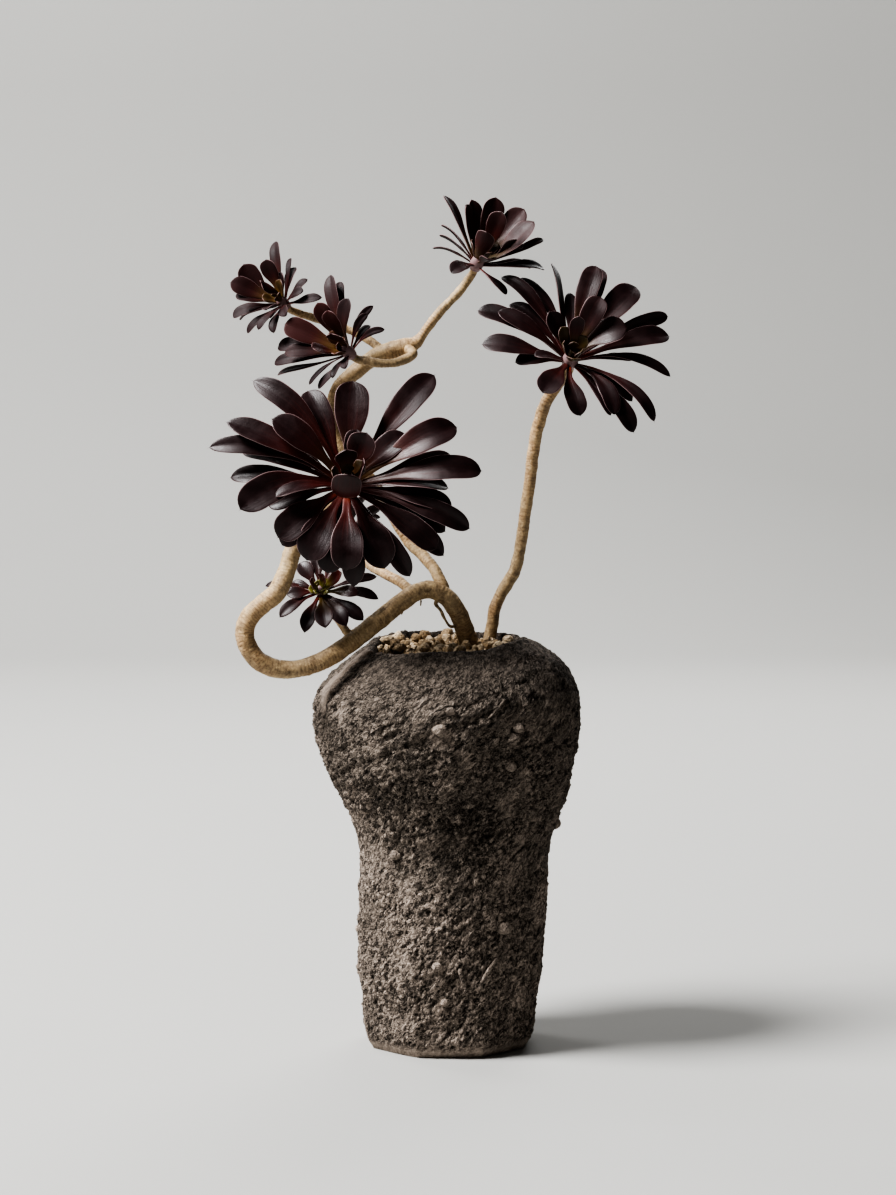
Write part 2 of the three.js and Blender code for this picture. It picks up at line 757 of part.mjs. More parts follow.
const loopingRoute = [...LOOPING_STEM, ...shootTo("rosette_large", 4.6)];
const uprightRoute = [...UPRIGHT_STEM, ...shootTo("rosette_right", 3.4)];
const branches = [
  stem([...TALL_BRANCH, ...shootTo("rosette_top", 2.4)], 7, 9),
  stem([...CURLED_BRANCH, ...shootTo("rosette_middle_left", 2.4)], 7, 6),
  stem([...LEFT_BRANCH, ...shootTo("rosette_upper_left", 2.2)], 7, 7),
  stem([...REAR_BRANCH, ...shootTo("rosette_rear", 2.4)], 7, 7),
  stem([...LOW_BRANCH, ...shootTo("rosette_low", 2.2)], 7, 6),
  ...AERIAL_ROOTS.map((route) => stem(route, 5, 4.5)),
];
const holes = stem(loopingRoute.slice(0, 6), 10, 7, 2 * FIT_GAP).add(
  stem(uprightRoute.slice(0, 6), 10, 7, 2 * FIT_GAP),
);

addPiece("pot", makePot(), 0x5b5148, 0.95);
addPiece("soil", filling(FLOOR_Z + FIT_GAP, SOIL_TOP).subtract(holes), 0x3a2d22, 1);
addPiece("grit_topping", makeGrit().subtract(holes), 0xc2a982, 0.9);
addPiece("stem_looping", fuse([stem(loopingRoute, 9, 8.5), ...branches]), 0xb09468, 0.7);
addPiece("stem_upright", stem(uprightRoute, 8, 9), 0xa98f68, 0.7);
for (const [name, rosette] of Object.entries(ROSETTES)) {
  addPiece(name, makeRosette(rosette), 0x2a181b, 0.35);
}

export default group;
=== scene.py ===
"""A dark-leaved aeonium in a tall hand-built stoneware pot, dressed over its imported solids.

Tables are in millimetres, as the solids' source gives them, and every mesh is made in metres.
"""

import math

import bmesh
import bpy
from mathutils import Matrix, Vector, noise


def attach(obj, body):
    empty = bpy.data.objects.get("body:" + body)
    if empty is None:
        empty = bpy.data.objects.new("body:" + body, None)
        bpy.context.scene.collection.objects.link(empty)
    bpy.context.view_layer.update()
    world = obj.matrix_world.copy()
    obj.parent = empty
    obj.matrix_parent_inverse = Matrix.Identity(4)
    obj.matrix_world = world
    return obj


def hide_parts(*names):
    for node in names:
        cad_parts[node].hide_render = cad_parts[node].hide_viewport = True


bl_info = {
    "name": "Potted aeonium",
    "version": (1, 0, 0),
    "blender": (4, 5, 0),
    "location": "3D View > Sidebar > Aeonium",
    "description": "A dark-leaved aeonium in a tall hand-built stoneware pot",
    "category": "Add Mesh",
}

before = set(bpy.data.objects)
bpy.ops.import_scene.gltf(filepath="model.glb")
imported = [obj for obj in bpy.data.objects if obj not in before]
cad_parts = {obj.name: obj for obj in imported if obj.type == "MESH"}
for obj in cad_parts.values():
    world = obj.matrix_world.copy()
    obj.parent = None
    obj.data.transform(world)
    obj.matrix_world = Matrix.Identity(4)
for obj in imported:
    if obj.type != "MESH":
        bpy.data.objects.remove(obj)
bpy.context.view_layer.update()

MM = 0.001
GOLDEN_ANGLE = math.radians(137.508)

# ---------------------------------------------------------------- the pot's shape
# Outside: height, half width, shift to the right, half depth, how eight-sided it is.
POT_WALL = [
    [0, 44.5, 0.3, 42.5, 1], [4, 47.2, 0.3, 45.2, 1], [25, 50.5, 0.8, 48.5, 0.7],
    [42, 53.2, 0.8, 51, 0.5], [60, 54.2, 1.7, 52, 0.3], [90, 54.9, 3.1, 52.8, 0.2],
    [121, 56.2, 3.9, 55.5, 0], [130, 58.6, 3.9, 58.5, 0], [139, 62, 3.8, 61.5, 0],
    [150, 66.8, 3.1, 65.5, 0], [162, 71.4, 1.5, 69.5, 0], [174, 74.8, 0.3, 72.5, 0],
    [187, 77, 0.1, 74.5, 0], [200, 77.4, -0.3, 75, 0], [209, 75.5, 0.3, 73.5, 0], [217, 71, 1, 69.2, 0],
    [223.5, 65.6, 1.2, 64, 0], [228.5, 60, 0.6, 59, 0], [233.5, 52.5, 0.3, 52.5, 0],
    [236, 48, 0, 48.5, 0],
]
# Inside, from the lip down: height, radius.
POT_HOLLOW = [
    [235.6, 44], [232.5, 42.6], [227, 44], [218, 52.5], [204, 63.5], [184, 66], [162, 60], [128, 47],
    [30, 43], [10, 34],
]
# Where the wall passes into the lip and the lip into the hollow: height, radius.
LIP_OUTSIDE = (236.0, 48.2)
LIP_INSIDE = (235.6, 44.0)
LIP_BULGE = 0.7
FLOOR_HEIGHT = 10.0
# The draw of the noise that bends the clay's flakes, the same in every run.
RELIEF_SEED = 7
# The lip is a little lower in front than behind, sags with its shoulder at the left and rises at the front
# right.
LIP = {
    "tilt": 2.2,
    "sag": {"by": -4.4, "at": 195, "width": 40},
    "rise": {"by": 4.6, "at": 326, "width": 27},
    "from": 203,
    "to": 226,
}
# A fold in the clay runs from the lip down the left shoulder.
FOLD = [
    [-41, -15, 233.5], [-47.9, -14.4, 230], [-51.4, -17.2, 226.9], [-56.4, -19.2, 222.9],
    [-61.5, -19.5, 218.6], [-64.5, -22.5, 215.1], [-65.6, -28.1, 212], [-66.4, -33.1, 208.9],
]
# Pebbles and pellets of clay in the wall: turn round the pot (degrees), height, radius.
KNOBS = [
    [-59, 194, 3.6], [-61.5, 188, 4], [-62, 172, 3.8], [-89, 204.5, 3.2], [-93, 194, 4.6],
    [-57, 76, 4.4], [-98, 55, 3.4], [-93, 34, 3], [-2, 130, 4], [-128, 118, 3.4], [60, 150, 4],
    [128, 92, 3.8], [100, 196, 3.6], [172, 66, 3.2],
]
# Roots and threads pressed into the clay: turn, height, radius. Their middle lines stand a little proud of
# the wall.
PROUD = Vector((1.008, 1.008, 1.0))
STRANDS = [
    [[-74.4, 222.8, 0.6], [-72.5, 219.5, 0.7], [-69.7, 215.1, 0.5]],
    [[-67, 223.5, 0.5], [-66.1, 220.3, 0.6], [-66.1, 216.5, 0.5]],
    [[-58.6, 217.5, 1.4], [-57.9, 214.9, 1.9], [-56.4, 211.5, 1.8], [-55.4, 208.7, 2.2], [-55, 205.2, 2.3]],
    [[-64.2, 212, 0.7], [-69.3, 204.7, 0.8], [-73, 200.2, 0.6]],
    [[-56.1, 112.9, 0.9], [-49.8, 118.5, 1], [-44.5, 122.1, 0.7]],
    [[-84.8, 54.2, 1.2], [-81.9, 46.6, 1.3], [-78.3, 38.2, 0.8]],
    [[-60.8, 59.1, 1], [-67.6, 51.2, 1.3], [-72.6, 40.9, 0.9]],
    [[20, 201, 0.8], [31, 190, 1], [37, 176, 0.7]],
    [[146, 132, 0.8], [152, 118, 1.1], [160, 108, 0.7]],
]

# ---------------------------------------------------------------- stems: x, y, z, radius
LOOPING_STEM = [
    [24, 3, 188, 5.6], [18, -1, 212, 5.7], [12.2, -4, 233.5, 5.7], [9.6, -5, 244, 5.5],
    [5.5, -7, 254.5, 5.4], [-0.7, -9, 263, 5.3], [-9, -11, 267.5, 5.2], [-18.2, -14, 266.5, 5.2],
    [-27.4, -17, 260.5, 5.3], [-38.7, -21, 251.7, 5.4], [-48.9, -25, 243.8, 5.4], [-59, -29, 236.3, 5.4],
    [-69.2, -33, 230.2, 5.3], [-81.3, -36, 225.4, 5.2], [-92.5, -38, 224.1, 5.2],
    [-102.6, -40, 226.4, 5.4], [-110.4, -42, 232.2, 5.4], [-114.9, -43, 240.5, 5.4],
    [-115.4, -43, 248.6, 5.5], [-111.9, -43, 255.8, 5.5], [-105.2, -43, 262, 5.5], [-98, -43, 268, 5.5],
    [-93.8, -42, 275.1, 5.3], [-91, -40, 283.1, 5.1], [-88.5, -37, 291.5, 5], [-83, -32, 302, 4.9],
    [-73.5, -29, 311.5, 4.8], [-64, -31, 318, 4.8],
]
UPRIGHT_STEM = [
    [22, 16, 194, 3.9], [22.6, 21, 216, 3.8], [24.4, 25, 234.4, 3.7], [26.2, 26, 244.6, 3.6],
    [27.7, 26, 253.3, 3.6], [30.5, 26, 260.6, 3.6], [34.8, 25, 268.1, 3.7], [38.9, 23, 275.3, 3.7],
    [41.1, 22, 282.5, 3.6], [42.5, 21, 290.4, 3.5], [43.9, 20, 299.7, 3.5], [45.2, 19, 309.8, 3.5],
    [48, 17, 329.9, 3.5], [50, 15, 347.5, 3.6], [52.9, 13, 362.5, 3.6], [57.2, 11, 375.5, 3.5],
]
TALL_BRANCH = [
    [-1, -10, 262.5, 3.4], [-3.8, -7, 271.3, 3.6], [-9, -3, 280.3, 3.4], [-15.2, 2, 287.2, 3.4],
    [-22.6, 6, 294.3, 3.4], [-29.7, 8, 305, 3.4], [-37, 10, 318, 3.5], [-48.4, 11, 334.7, 3.6],
    [-60.1, 12, 347.5, 3.8], [-66.6, 12, 358.6, 4], [-67.2, 12, 367.3, 4.1], [-66.4, 12, 377, 4.2],
    [-63, 12, 384.6, 4.3], [-56.7, 12, 390.7, 4.5], [-49.8, 12, 396.5, 4.7], [-42, 12, 402, 5],
    [-33, 11.5, 405.4, 5.4], [-24.5, 12, 407.6, 5.4], [-18.6, 12, 410.2, 3.8], [-15.1, 12, 414.2, 2.8],
    [-9.3, 12, 422.2, 2.8], [-2.5, 12.5, 430.3, 2.7], [5.5, 13.5, 438.4, 2.5],
]
CURLED_BRANCH = [
    [-24, 10, 407, 3.4], [-20.5, 3.5, 403.2, 2.9], [-29.8, -2.5, 398.8, 2.7], [-39.2, -4.5, 398.2, 2.6],
    [-47, -5, 399.6, 2.5],
]
LEFT_BRANCH = [
    [-37, 12, 404, 3], [-42.5, 15, 409, 2.6], [-49.3, 18, 413.2, 2.5], [-58, 20, 417.4, 2.4],
    [-69, 20, 421.4, 2.4], [-80, 18.5, 425, 2.4],
]
REAR_BRANCH = [
    [-19, -14, 265.5, 3], [-28.6, -6, 272.3, 3], [-36.1, 0, 275.9, 2.9], [-44, 9, 279.5, 2.8],
    [-51, 18, 284, 2.7],
]
LOW_BRANCH = [
    [-53, -27, 240.5, 2.6], [-57.1, -25.5, 243.5, 2.6], [-61.3, -21, 248.5, 2.4],
]
AERIAL_ROOTS = [
    [
        [-5, -11, 263.5, 1], [-7, -10.5, 259.5, 1], [-4.4, -11.5, 256, 0.95], [-2.2, -12, 251.5, 0.9],
        [1.2, -10.5, 246.5, 0.9], [6, -8, 246.5, 0.9],
    ],
    [[-25, -16, 259, 0.8], [-27, -16, 253.5, 0.6]],
    [[-15.5, -13, 262, 0.7], [-15.8, -13, 258.3, 0.5]],
]

# ---------------------------------------------------------------- rosettes
# heart: where the leaves meet; axis: the way it faces; core: radius, and reach behind and ahead of the heart.
# leaves: each tip right and up from the heart as seen from the front, its rise out of the rosette's face, the
# blade's width, its roll in degrees, the sweep of its middle, and its arch as a share of its length.
ROSETTES = {
    "rosette_large": {
        "heart": [-56.7, -56, 332],
        "axis": [0.08, -0.87, 0.48],
        "core": [6.4, 10, 6],
        "bud": {"count": 7, "reach": 17, "width": 9, "phase": 0.6},
        "leaves": [
            [-55, 57, 9, 14, -10, 6], [-23.5, 51.5, 4, 16], [3, 57.5, 15, 20.5],
            [50, 60.5, 9, 17, 0, -2, 0.03], [63, 31, 17, 18], [61, 13, 7, 14, 0, 2], [77, 6, 10, 16],
            [60, -15, -3, 13], [70, -27, -6, 12.5, 20], [56, -29, -14, 14], [51, -38, -6, 15],
            [55, -42.5, -16, 13], [36, -53.5, -14, 12, 10, 1], [21.5, -49, -10, 20], [0, -49.5, -7, 19],
            [4, -59.5, -20, 14], [-22.5, -44, -8, 20], [-11, -51.5, -17, 16], [-39, -31, -4, 18, -12],
            [-37, -36, -14, 15], [-60, -15.5, 4, 19, -12, 8], [-67, 2, -7, 12], [-60, 16, 0, 11, 20],
            [-79, 19, 4, 11.5, -10, 5.5], [-69, 34, 11, 15, 10, 1], [-43, 36, 17, 17, 0, 2],
            [-39, 19, -3, 12], [-40, -8, 7, 12, 34, 2], [-44.5, -14, -5, 11], [58, -4, 3, 12, -24],
            [34, 27, 12, 15], [5.5, 30, 12, 12], [11.5, 28.5, 20, 17], [0, 19, 24, 13.5],
            [10.5, 11, 26, 11.5], [1.5, 6.5, 33, 17.5, 0, 0, -0.36],
        ],
    },
    "rosette_right": {
        "heart": [71, -3, 401.5],
        "axis": [0.15, -0.8, 0.58],
        "core": [5, 8, 5],
        "bud": {"count": 7, "reach": 20, "width": 9.5, "phase": 2.1},
        "leaves": [
            [-52.5, 7.5, 1, 13.5, 0, -1], [-55, 27, 3, 13, 0, 2], [-43, 27, 9, 12],
            [-36, 31, 0, 11, 0, 1], [-41, 47, 5, 10, 0, 2], [-30.5, 46.5, 0, 10, 12, 4],
            [-10.5, 55, 6, 9, 55, -1], [15.5, 53.8, 17, 13.5, -8, -1.5], [17, 53, 7, 15],
            [40, 41, 8, 17], [58.5, 24, 3, 9, 30, -1], [59, 12, 0, 14], [59, -12, -5, 6.5, 15, -6],
            [36.5, -2, -8, 5.5], [48, -38, -6, 8, 0, -5], [36, -26, -10, 10], [36, -44, -8, 12],
            [24, -33.5, 1, 11, 0, -5], [22.5, -34, -3, 6], [5, -34, -2, 12.5, 0, 3.5],
            [-17.5, -20.5, 5, 15], [-33, -3, -2, 10], [-22, 1, 5, 9, 20], [33, 17, 15, 17, 0, -3],
            [-13, 27, 17, 12], [0, 38, 4, 8], [17.5, 35.5, 22, 14], [4, 24, 24, 9],
        ],
    },
    "rosette_top": {
        "heart": [17.4, 12, 457.5],
        "axis": [0.34, -0.52, 0.78],
        "core": [4.2, 6, 4],
        "bud": {"count": 5, "reach": 16, "width": 8, "phase": 0.2},
        "leaves": [
            [-20.5, 38.5, 18, 8, 10, -1.5], [-22, 21, 6, 6, 30], [-23, 15, 2, 6, 35],
            [-27, 7, -2, 6, 30], [-16, -8, -1, 10], [17, -20, -6, 6.5, 0, 3], [39, -5, 4, 9, 0, 4],
            [31, -4, -2, 8, 0, 1], [39, 13, 11, 4.5, 30, 5], [-4, 36, 25, 10.5, 0, 1],
            [-7, 32.5, 28, 9, 0, 2], [10.5, 37.5, 30, 13.5, 0, 1], [27.5, 30.5, 30, 14],
            [33, 23, 30, 14.5, 0, 3], [14, 28, 33, 12], [5, 16, 26, 12], [27, 8, 14, 14, -70],
            [6, 0, 14, 8], [-4, 27, 4, 10], [12, 29, 6, 10], [30, 22, 6, 10],
        ],
    },
    "rosette_upper_left": {
        "heart": [-97, 11, 434],
        "axis": [-0.55, -0.66, 0.5],
        "core": [3.6, 6, 3.5],
        "bud": {"count": 4, "reach": 14, "width": 7.5, "phase": 1.2},
        "leaves": [
            [-3.5, 35.5, 12, 8, 0, 1], [-8.5, 24.5, 20, 11.5], [-22, 22, 22, 13, 0, -3],
            [-30, 11, 22, 12], [-27, 3, 16, 9], [-29, -9, 6, 9, 0, 0.5], [-25, -11, -1, 6, 30],
            [-20, -19, 0, 6], [-13, -17, 5, 6, 0, -1], [-3.5, -19, 1, 7], [-6.6, -10, 2, 5],
            [16, 13, 0, 6, 0, 1.5], [14, 6, 4, 7], [25, 2, -4, 6.5, 0, 2], [5.5, 25.6, 5, 3.5, 10, 3],
            [9, 20, 2, 8], [-11, 11, 21, 10], [-8, -5, 14, 8], [0.5, 17, 12, 8], [4, -9, 6, 7],
        ],
    },
    "rosette_middle_left": {
        "heart": [-58.2, -10, 405.4],
        "axis": [-0.52, -0.72, 0.46],
        "core": [4, 6, 4],
        "bud": {"count": 4, "reach": 15, "width": 8, "phase": 2.4},
        "leaves": [
            [-9.7, 44.4, 16, 9], [-4.3, 40.4, 8, 7.5, 20], [1.5, 30.5, 14, 10, 0, -3], [-17, 28, 24, 11],
            [-11, 23.5, 24, 10], [-36.5, 15.5, 23, 14], [-41, 2, 10, 9.5], [-36.5, -1.5, 17, 9],
            [-43, -7.7, 9, 8, 0, -1.5], [-41.5, -14.5, 0, 5, 15, -4], [-22, -20, 2, 3.5, 0, 1],
            [-16.8, -22.2, -3, 5.5, 0, -2.5], [-8, -16, 5, 5], [15.8, 26.2, 1, 5, 40, -1.5],
            [12.5, 21.5, 4, 5, 40, -1], [14, 14.5, -4, 6], [22.8, 12.2, 2, 4.5, 30, -1.5],
            [-9, 10, 18, 10], [-20, 2, 20, 9], [-0.5, -10.5, 4, 6],
        ],
    },
    "rosette_low": {
        "heart": [-73.5, -21, 268.4],
        "axis": [-0.05, -0.84, 0.54],
        "core": [3.2, 5.5, 3],
        "bud": {"count": 8, "reach": 8, "width": 6.5, "phase": 0.9, "lift": [14, 52]},
        "blunt": 0.15,
        "rise": 14,
        "leaves": [
            [-32.7, 1.2, -6, 5, 0, 1], [-19.3, -3, 2, 8.5], [-16.5, 4, -3, 5],
            [-23.2, -15.6, 1, 8, 0, 1], [-8.5, -23.8, 3, 9], [3.8, -20.7, 6, 11], [16, -20, 4, 10],
            [25.7, -17, 0, 9], [34.2, -5.5, -2, 7, 0, -1.5], [23.3, -2, 7, 8], [33, 7, -5, 6],
            [13, 11, 14, 9], [-12.5, 15, 0, 10], [-3, 19, -2, 8], [10, 17, -2, 9], [-5.5, 6, 12, 7],
            [2, 10, 14, 7],
        ],
    },
    "rosette_rear": {
        "heart": [-62, 33, 296],
        "axis": [-0.35, 0.62, 0.7],
        "core": [3.2, 5.5, 3],
        "bud": {"count": 4, "reach": 12, "width": 7, "phase": 0.4},
        "ring": {"count": 11, "reach": 27, "width": 9, "lift": 14},
        "leaves": [],
    },
}
# How red, how green and how pale a rosette's inner leaves are, and how glossy its leaves are.
LEAF_TINTS = {
    "rosette_large": (0.9, 0.45, 0.1, 1.0),
    "rosette_right": (0.7, 0.5, 0.1, 0.7),
    "rosette_top": (0.7, 0.4, 0.15, 0.45),
    "rosette_upper_left": (0.8, 0.5, 0.3, 0.1),
    "rosette_middle_left": (0.8, 0.45, 0.6, 0.2),
    "rosette_low": (1.0, 1.0, 0.9, 0.9),
    "rosette_rear": (0.6, 0.6, 0.2, 0.6),
}

# ---------------------------------------------------------------- settings
class PotSettings(bpy.types.PropertyGroup):
    relief: bpy.props.FloatProperty(
        name="Relief", description="Depth of the crumbs and pits in the clay",
        default=1.35 * MM, min=0.0, max=2.5 * MM, unit="LENGTH",
    )
    # Used for the darker band towards the lip and for the painted shade in the clay's hollows, cracks and
    # slots.
    clay_dark_and_shade: bpy.props.FloatVectorProperty(
        name="Dark clay", description="Colour of the clay in its hollows",
        default=(0.016, 0.012, 0.0088), size=3, min=0.0, max=1.0, subtype="COLOR",
    )
    clay_mid: bpy.props.FloatVectorProperty(
        name="Clay", description="Main colour of the clay",
        default=(0.298, 0.246, 0.204), size=3, min=0.0, max=1.0, subtype="COLOR",
    )
    clay_pale: bpy.props.FloatVectorProperty(
        name="Pale clay", description="Colour of the worn and dusty places",
        default=(0.485, 0.395, 0.33), size=3, min=0.0, max=1.0, subtype="COLOR",
    )


class GritSettings(bpy.types.PropertyGroup):
    granules: bpy.props.IntProperty(
        name="Granules", description="How many granules lie on the soil", default=300, min=50, max=500,
    )
    size: bpy.props.FloatProperty(
        name="Granule size", description="Width of a usual granule",
        default=5.6 * MM, min=2 * MM, max=8 * MM, unit="LENGTH",
    )
    pale: bpy.props.FloatVectorProperty(
        name="Pale pumice", description="Colour of the lightest granules",
        default=(0.66, 0.53, 0.37), size=3, min=0.0, max=1.0, subtype="COLOR",
    )
    tan: bpy.props.FloatVectorProperty(
        name="Tan pumice", description="Colour of the stained granules",
        default=(0.36, 0.25, 0.14), size=3, min=0.0, max=1.0, subtype="COLOR",
    )
    soil: bpy.props.FloatVectorProperty(
        name="Soil", description="Colour of the soil under the grit",
        default=(0.03, 0.02, 0.013), size=3, min=0.0, max=1.0, subtype="COLOR",
    )


class StemSettings(bpy.types.PropertyGroup):
    ring_spacing: bpy.props.FloatProperty(
        name="Ring spacing", description="Distance from one leaf scar to the next along a stem",
        default=1.9 * MM, min=1 * MM, max=6 * MM, unit="LENGTH",
    )
    ring_depth: bpy.props.FloatProperty(
        name="Ring depth", description="Depth of the grooves between the scars",
        default=0.26 * MM, min=0.0, max=0.6 * MM, unit="LENGTH",
    )
    bark_young: bpy.props.FloatVectorProperty(
        name="Young bark", description="Colour of the young bark",
        default=(0.46, 0.335, 0.19), size=3, min=0.0, max=1.0, subtype="COLOR",
    )
    bark_old: bpy.props.FloatVectorProperty(
        name="Old bark", description="Colour of the old bark near the soil",
        default=(0.265, 0.19, 0.11), size=3, min=0.0, max=1.0, subtype="COLOR",
    )
    bark_flush: bpy.props.FloatVectorProperty(
        name="Flush", description="Colour of the warm blotches",
        default=(0.38, 0.235, 0.12), size=3, min=0.0, max=1.0, subtype="COLOR",
    )
    bark_stain: bpy.props.FloatVectorProperty(
        name="Stains", description="Colour of the scars and stains",
        default=(0.09, 0.05, 0.026), size=3, min=0.0, max=1.0, subtype="COLOR",
    )


class LeafSettings(bpy.types.PropertyGroup):
    thickness: bpy.props.FloatProperty(
        name="Thickness", description="Thickness of a blade at its midrib",
        default=1.7 * MM, min=0.8 * MM, max=4 * MM, unit="LENGTH",
    )
    breadth: bpy.props.FloatProperty(
        name="Breadth", description="Width of every blade, as a share of its listed width",
        default=0.96, min=0.5, max=1.5, subtype="FACTOR",
    )
    cup: bpy.props.FloatProperty(
        name="Cup", description="Rise of the edges over the midrib, as a share of the width",
        default=0.09, min=0.0, max=0.4, subtype="FACTOR",
    )
    dark: bpy.props.FloatVectorProperty(
        name="Blade", description="Colour of a blade grown in full sun",
        default=(0.0125, 0.0045, 0.005), size=3, min=0.0, max=1.0, subtype="COLOR",
    )
    red: bpy.props.FloatVectorProperty(
        name="Flush", description="Colour near the foot of a blade",
        default=(0.10, 0.012, 0.008), size=3, min=0.0, max=1.0, subtype="COLOR",
    )
    # Painted glow: light shining through the foot of a blade, painted into its colour.
    painted_glow: bpy.props.FloatVectorProperty(
        name="Glow", description="Colour of the foot of a blade where light comes through it",
        default=(0.30, 0.045, 0.010), size=3, min=0.0, max=1.0, subtype="COLOR",
    )
    green: bpy.props.FloatVectorProperty(
        name="Heart", description="Colour of the shaded foot of the youngest blades",
        default=(0.115, 0.105, 0.018), size=3, min=0.0, max=1.0, subtype="COLOR",
    )
    # A pale hairline round each blade, partly a painted highlight of its rim catching the light.
    margin: bpy.props.FloatVectorProperty(
        name="Margin", description="Colour of the pale hairline round a blade",
        default=(0.28, 0.185, 0.185), size=3, min=0.0, max=1.0, subtype="COLOR",
    )


class StageSettings(bpy.types.PropertyGroup):
    width: bpy.props.FloatProperty(
        name="Width", description="Width of the floor and the backdrop",
        default=12.0, min=2.0, max=20.0, unit="LENGTH",
    )
    key: bpy.props.FloatProperty(
        name="Key light", description="Power of the soft light at the left",
        default=282.0, min=0.0, unit="POWER",
    )
    wash: bpy.props.FloatProperty(
        name="Backdrop light", description="Power of the light on the backdrop",
        default=40.0, min=0.0, unit="POWER",
    )
    rear: bpy.props.FloatProperty(
        name="Rear light", description="Power of the weak light from behind",
        default=24.0, min=0.0, unit="POWER",
    )
    fill: bpy.props.FloatProperty(
        name="Surround", description="Strength of the even light from all round", default=0.06, min=0.0,
    )
    paper: bpy.props.FloatVectorProperty(
        name="Backdrop", description="Colour of the floor and the backdrop",
        default=(0.368, 0.364, 0.350), size=3, min=0.0, max=1.0, subtype="COLOR",
    )


# ---------------------------------------------------------------- helpers
def chance(number):
    """A share from 0 to 1 that is always the same for a number."""
    return (math.sin(number * 127.1 + 311.7) * 43758.5453) % 1.0


def smooth(low, high, value):
    """0 below low, 1 above high and an eased share between them; low may be the larger."""
    share = min(max((value - low) / (high - low), 0.0), 1.0)
    return share * share * (3.0 - 2.0 * share)


def mix(low, high, share):
    """The value that lies a share of the way from low to high."""
    return low + (high - low) * share


def ease(before, start, end, after, spans, share):
    """A value between start and end on a smooth line through four values that stand spans apart."""
    into = (start - before) / spans[0] - (end - before) / (spans[0] + spans[1]) + (end - start) / spans[1]
    out = (end - start) / spans[1] - (after - start) / (spans[1] + spans[2]) + (after - end) / spans[2]
    into *= spans[1]
    out *= spans[1]
    bend = -3.0 * start + 3.0 * end - 2.0 * into - out
    turn = 2.0 * start - 2.0 * end + into + out
    return start + into * share + bend * share**2 + turn * share**3


def row_at(rows, height):
    """The numbers of a table of rising rows at a height, rounded smoothly from row to row."""
    top = len(rows) - 1
    above = next((k for k in range(1, top) if rows[k][0] >= height), top)
    near = [rows[max(above - 2, 0)], rows[above - 1], rows[above], rows[min(above + 1, top)]]
    spans = [max(b[0] - a[0], 1e-3) for a, b in zip(near, near[1:])]
    if above < 2:
        spans[0] = spans[1]
    if above == top:
        spans[2] = spans[1]
    share = (height - near[1][0]) / spans[1]
    return [ease(*(row[k] for row in near), spans, share) for k in range(1, len(rows[0]))]


def follow(route, step):
    """Stations a step apart on a smooth line through x, y, z, radius points.

    Each is a list of its place, radius, heading, side and distance from the start.
    """
    points = [Vector(p) for p in route]
    points = [2 * points[0] - points[1], *points, 2 * points[-1] - points[-2]]
    fine = []
    for k in range(1, len(points) - 2):
        near = points[k - 1 : k + 3]
        spans = [max((b.xyz - a.xyz).length, 1e-6) ** 0.5 for a, b in zip(near, near[1:])]
        fine += [ease(*near, spans, share / 16) for share in range(16)]
    fine.append(points[-2])
    reached = [0.0]
    for a, b in zip(fine, fine[1:]):
        reached.append(reached[-1] + (b.xyz - a.xyz).length)
    count = max(3, round(reached[-1] / step))
    stations = []
    k = 0
    for i in range(count + 1):
        distance = reached[-1] * i / count
        while k < len(fine) - 2 and reached[k + 1] < distance:
            k += 1
        share = (distance - reached[k]) / max(reached[k + 1] - reached[k], 1e-9)
        at = fine[k].lerp(fine[k + 1], share)
        heading = (fine[k + 1].xyz - fine[k].xyz).normalized()
        stations.append([at.xyz, max(at.w, 0.05), heading, None, distance])
    side = stations[0][2].orthogonal().normalized()
    for i, station in enumerate(stations):
        behind, ahead = stations[max(i - 1, 0)][0], stations[min(i + 1, count)][0]
        station[2] = (ahead - behind).normalized()
        side = (side - station[2] * side.dot(station[2])).normalized()
        station[3] = side.copy()
    return stations


def wrap_grid(bm, around, along, place):
    """A grid closed into a skin by place(u, v), with its seam merged and a pole at either end."""
    uv = bm.loops.layers.uv.verify()
    verts = bmesh.ops.create_grid(bm, x_segments=around, y_segments=along, size=0.5)["verts"]
    for face in {face for vert in verts for face in vert.link_faces}:
        for loop in face.loops:
            loop[uv].uv = (loop.vert.co.x + 0.5, loop.vert.co.y + 0.5)
    for vert in verts:
        vert.co = place(vert.co.x + 0.5, vert.co.y + 0.5)
    bmesh.ops.remove_doubles(bm, verts=verts, dist=1e-7)
    return [vert for vert in verts if vert.is_valid]


def merge_into(bm, part):
    """Adds a small finished bmesh to a larger one."""
    mesh = bpy.data.meshes.new("part")
    part.to_mesh(mesh)
    part.free()
    bm.from_mesh(mesh)
    bpy.data.meshes.remove(mesh)


def finish_piece(name, bm, materials, node):
    """The finished bmesh as an object that rides on the body and stands for its node."""
    bmesh.ops.recalc_face_normals(bm, faces=bm.faces[:])
    mesh = bpy.data.meshes.new(name)
    bm.to_mesh(mesh)
    bm.free()
    mesh.shade_smooth()
    piece = bpy.data.objects.new(name, mesh)
    bpy.context.scene.collection.objects.link(piece)
    for material in materials:
        mesh.materials.append(material)
    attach(piece, "root")
    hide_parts(node)


# ---------------------------------------------------------------- material helpers
def new_material(name):
    """An empty material with its output, its shader and the Object coordinates."""
    material = bpy.data.materials.new(name)
    material.use_nodes = True
    tree = material.node_tree
    tree.nodes.clear()
    shader = tree.nodes.new("ShaderNodeBsdfPrincipled")
    output = tree.nodes.new("ShaderNodeOutputMaterial")
    tree.links.new(shader.outputs["BSDF"], output.inputs["Surface"])
    place = tree.nodes.new("ShaderNodeTexCoord").outputs["Object"]
    return material, tree, shader, place


def add_node(tree, kind, inputs, **settings):
    """A node whose inputs are linked to sockets or set to values."""
    made = tree.nodes.new(kind)
    for key, value in settings.items():
        setattr(made, key, value)
    for key, value in inputs.items():
        if isinstance(value, bpy.types.NodeSocket):
            tree.links.new(value, made.inputs[key])
        else:
            made.inputs[key].default_value = value
    return made


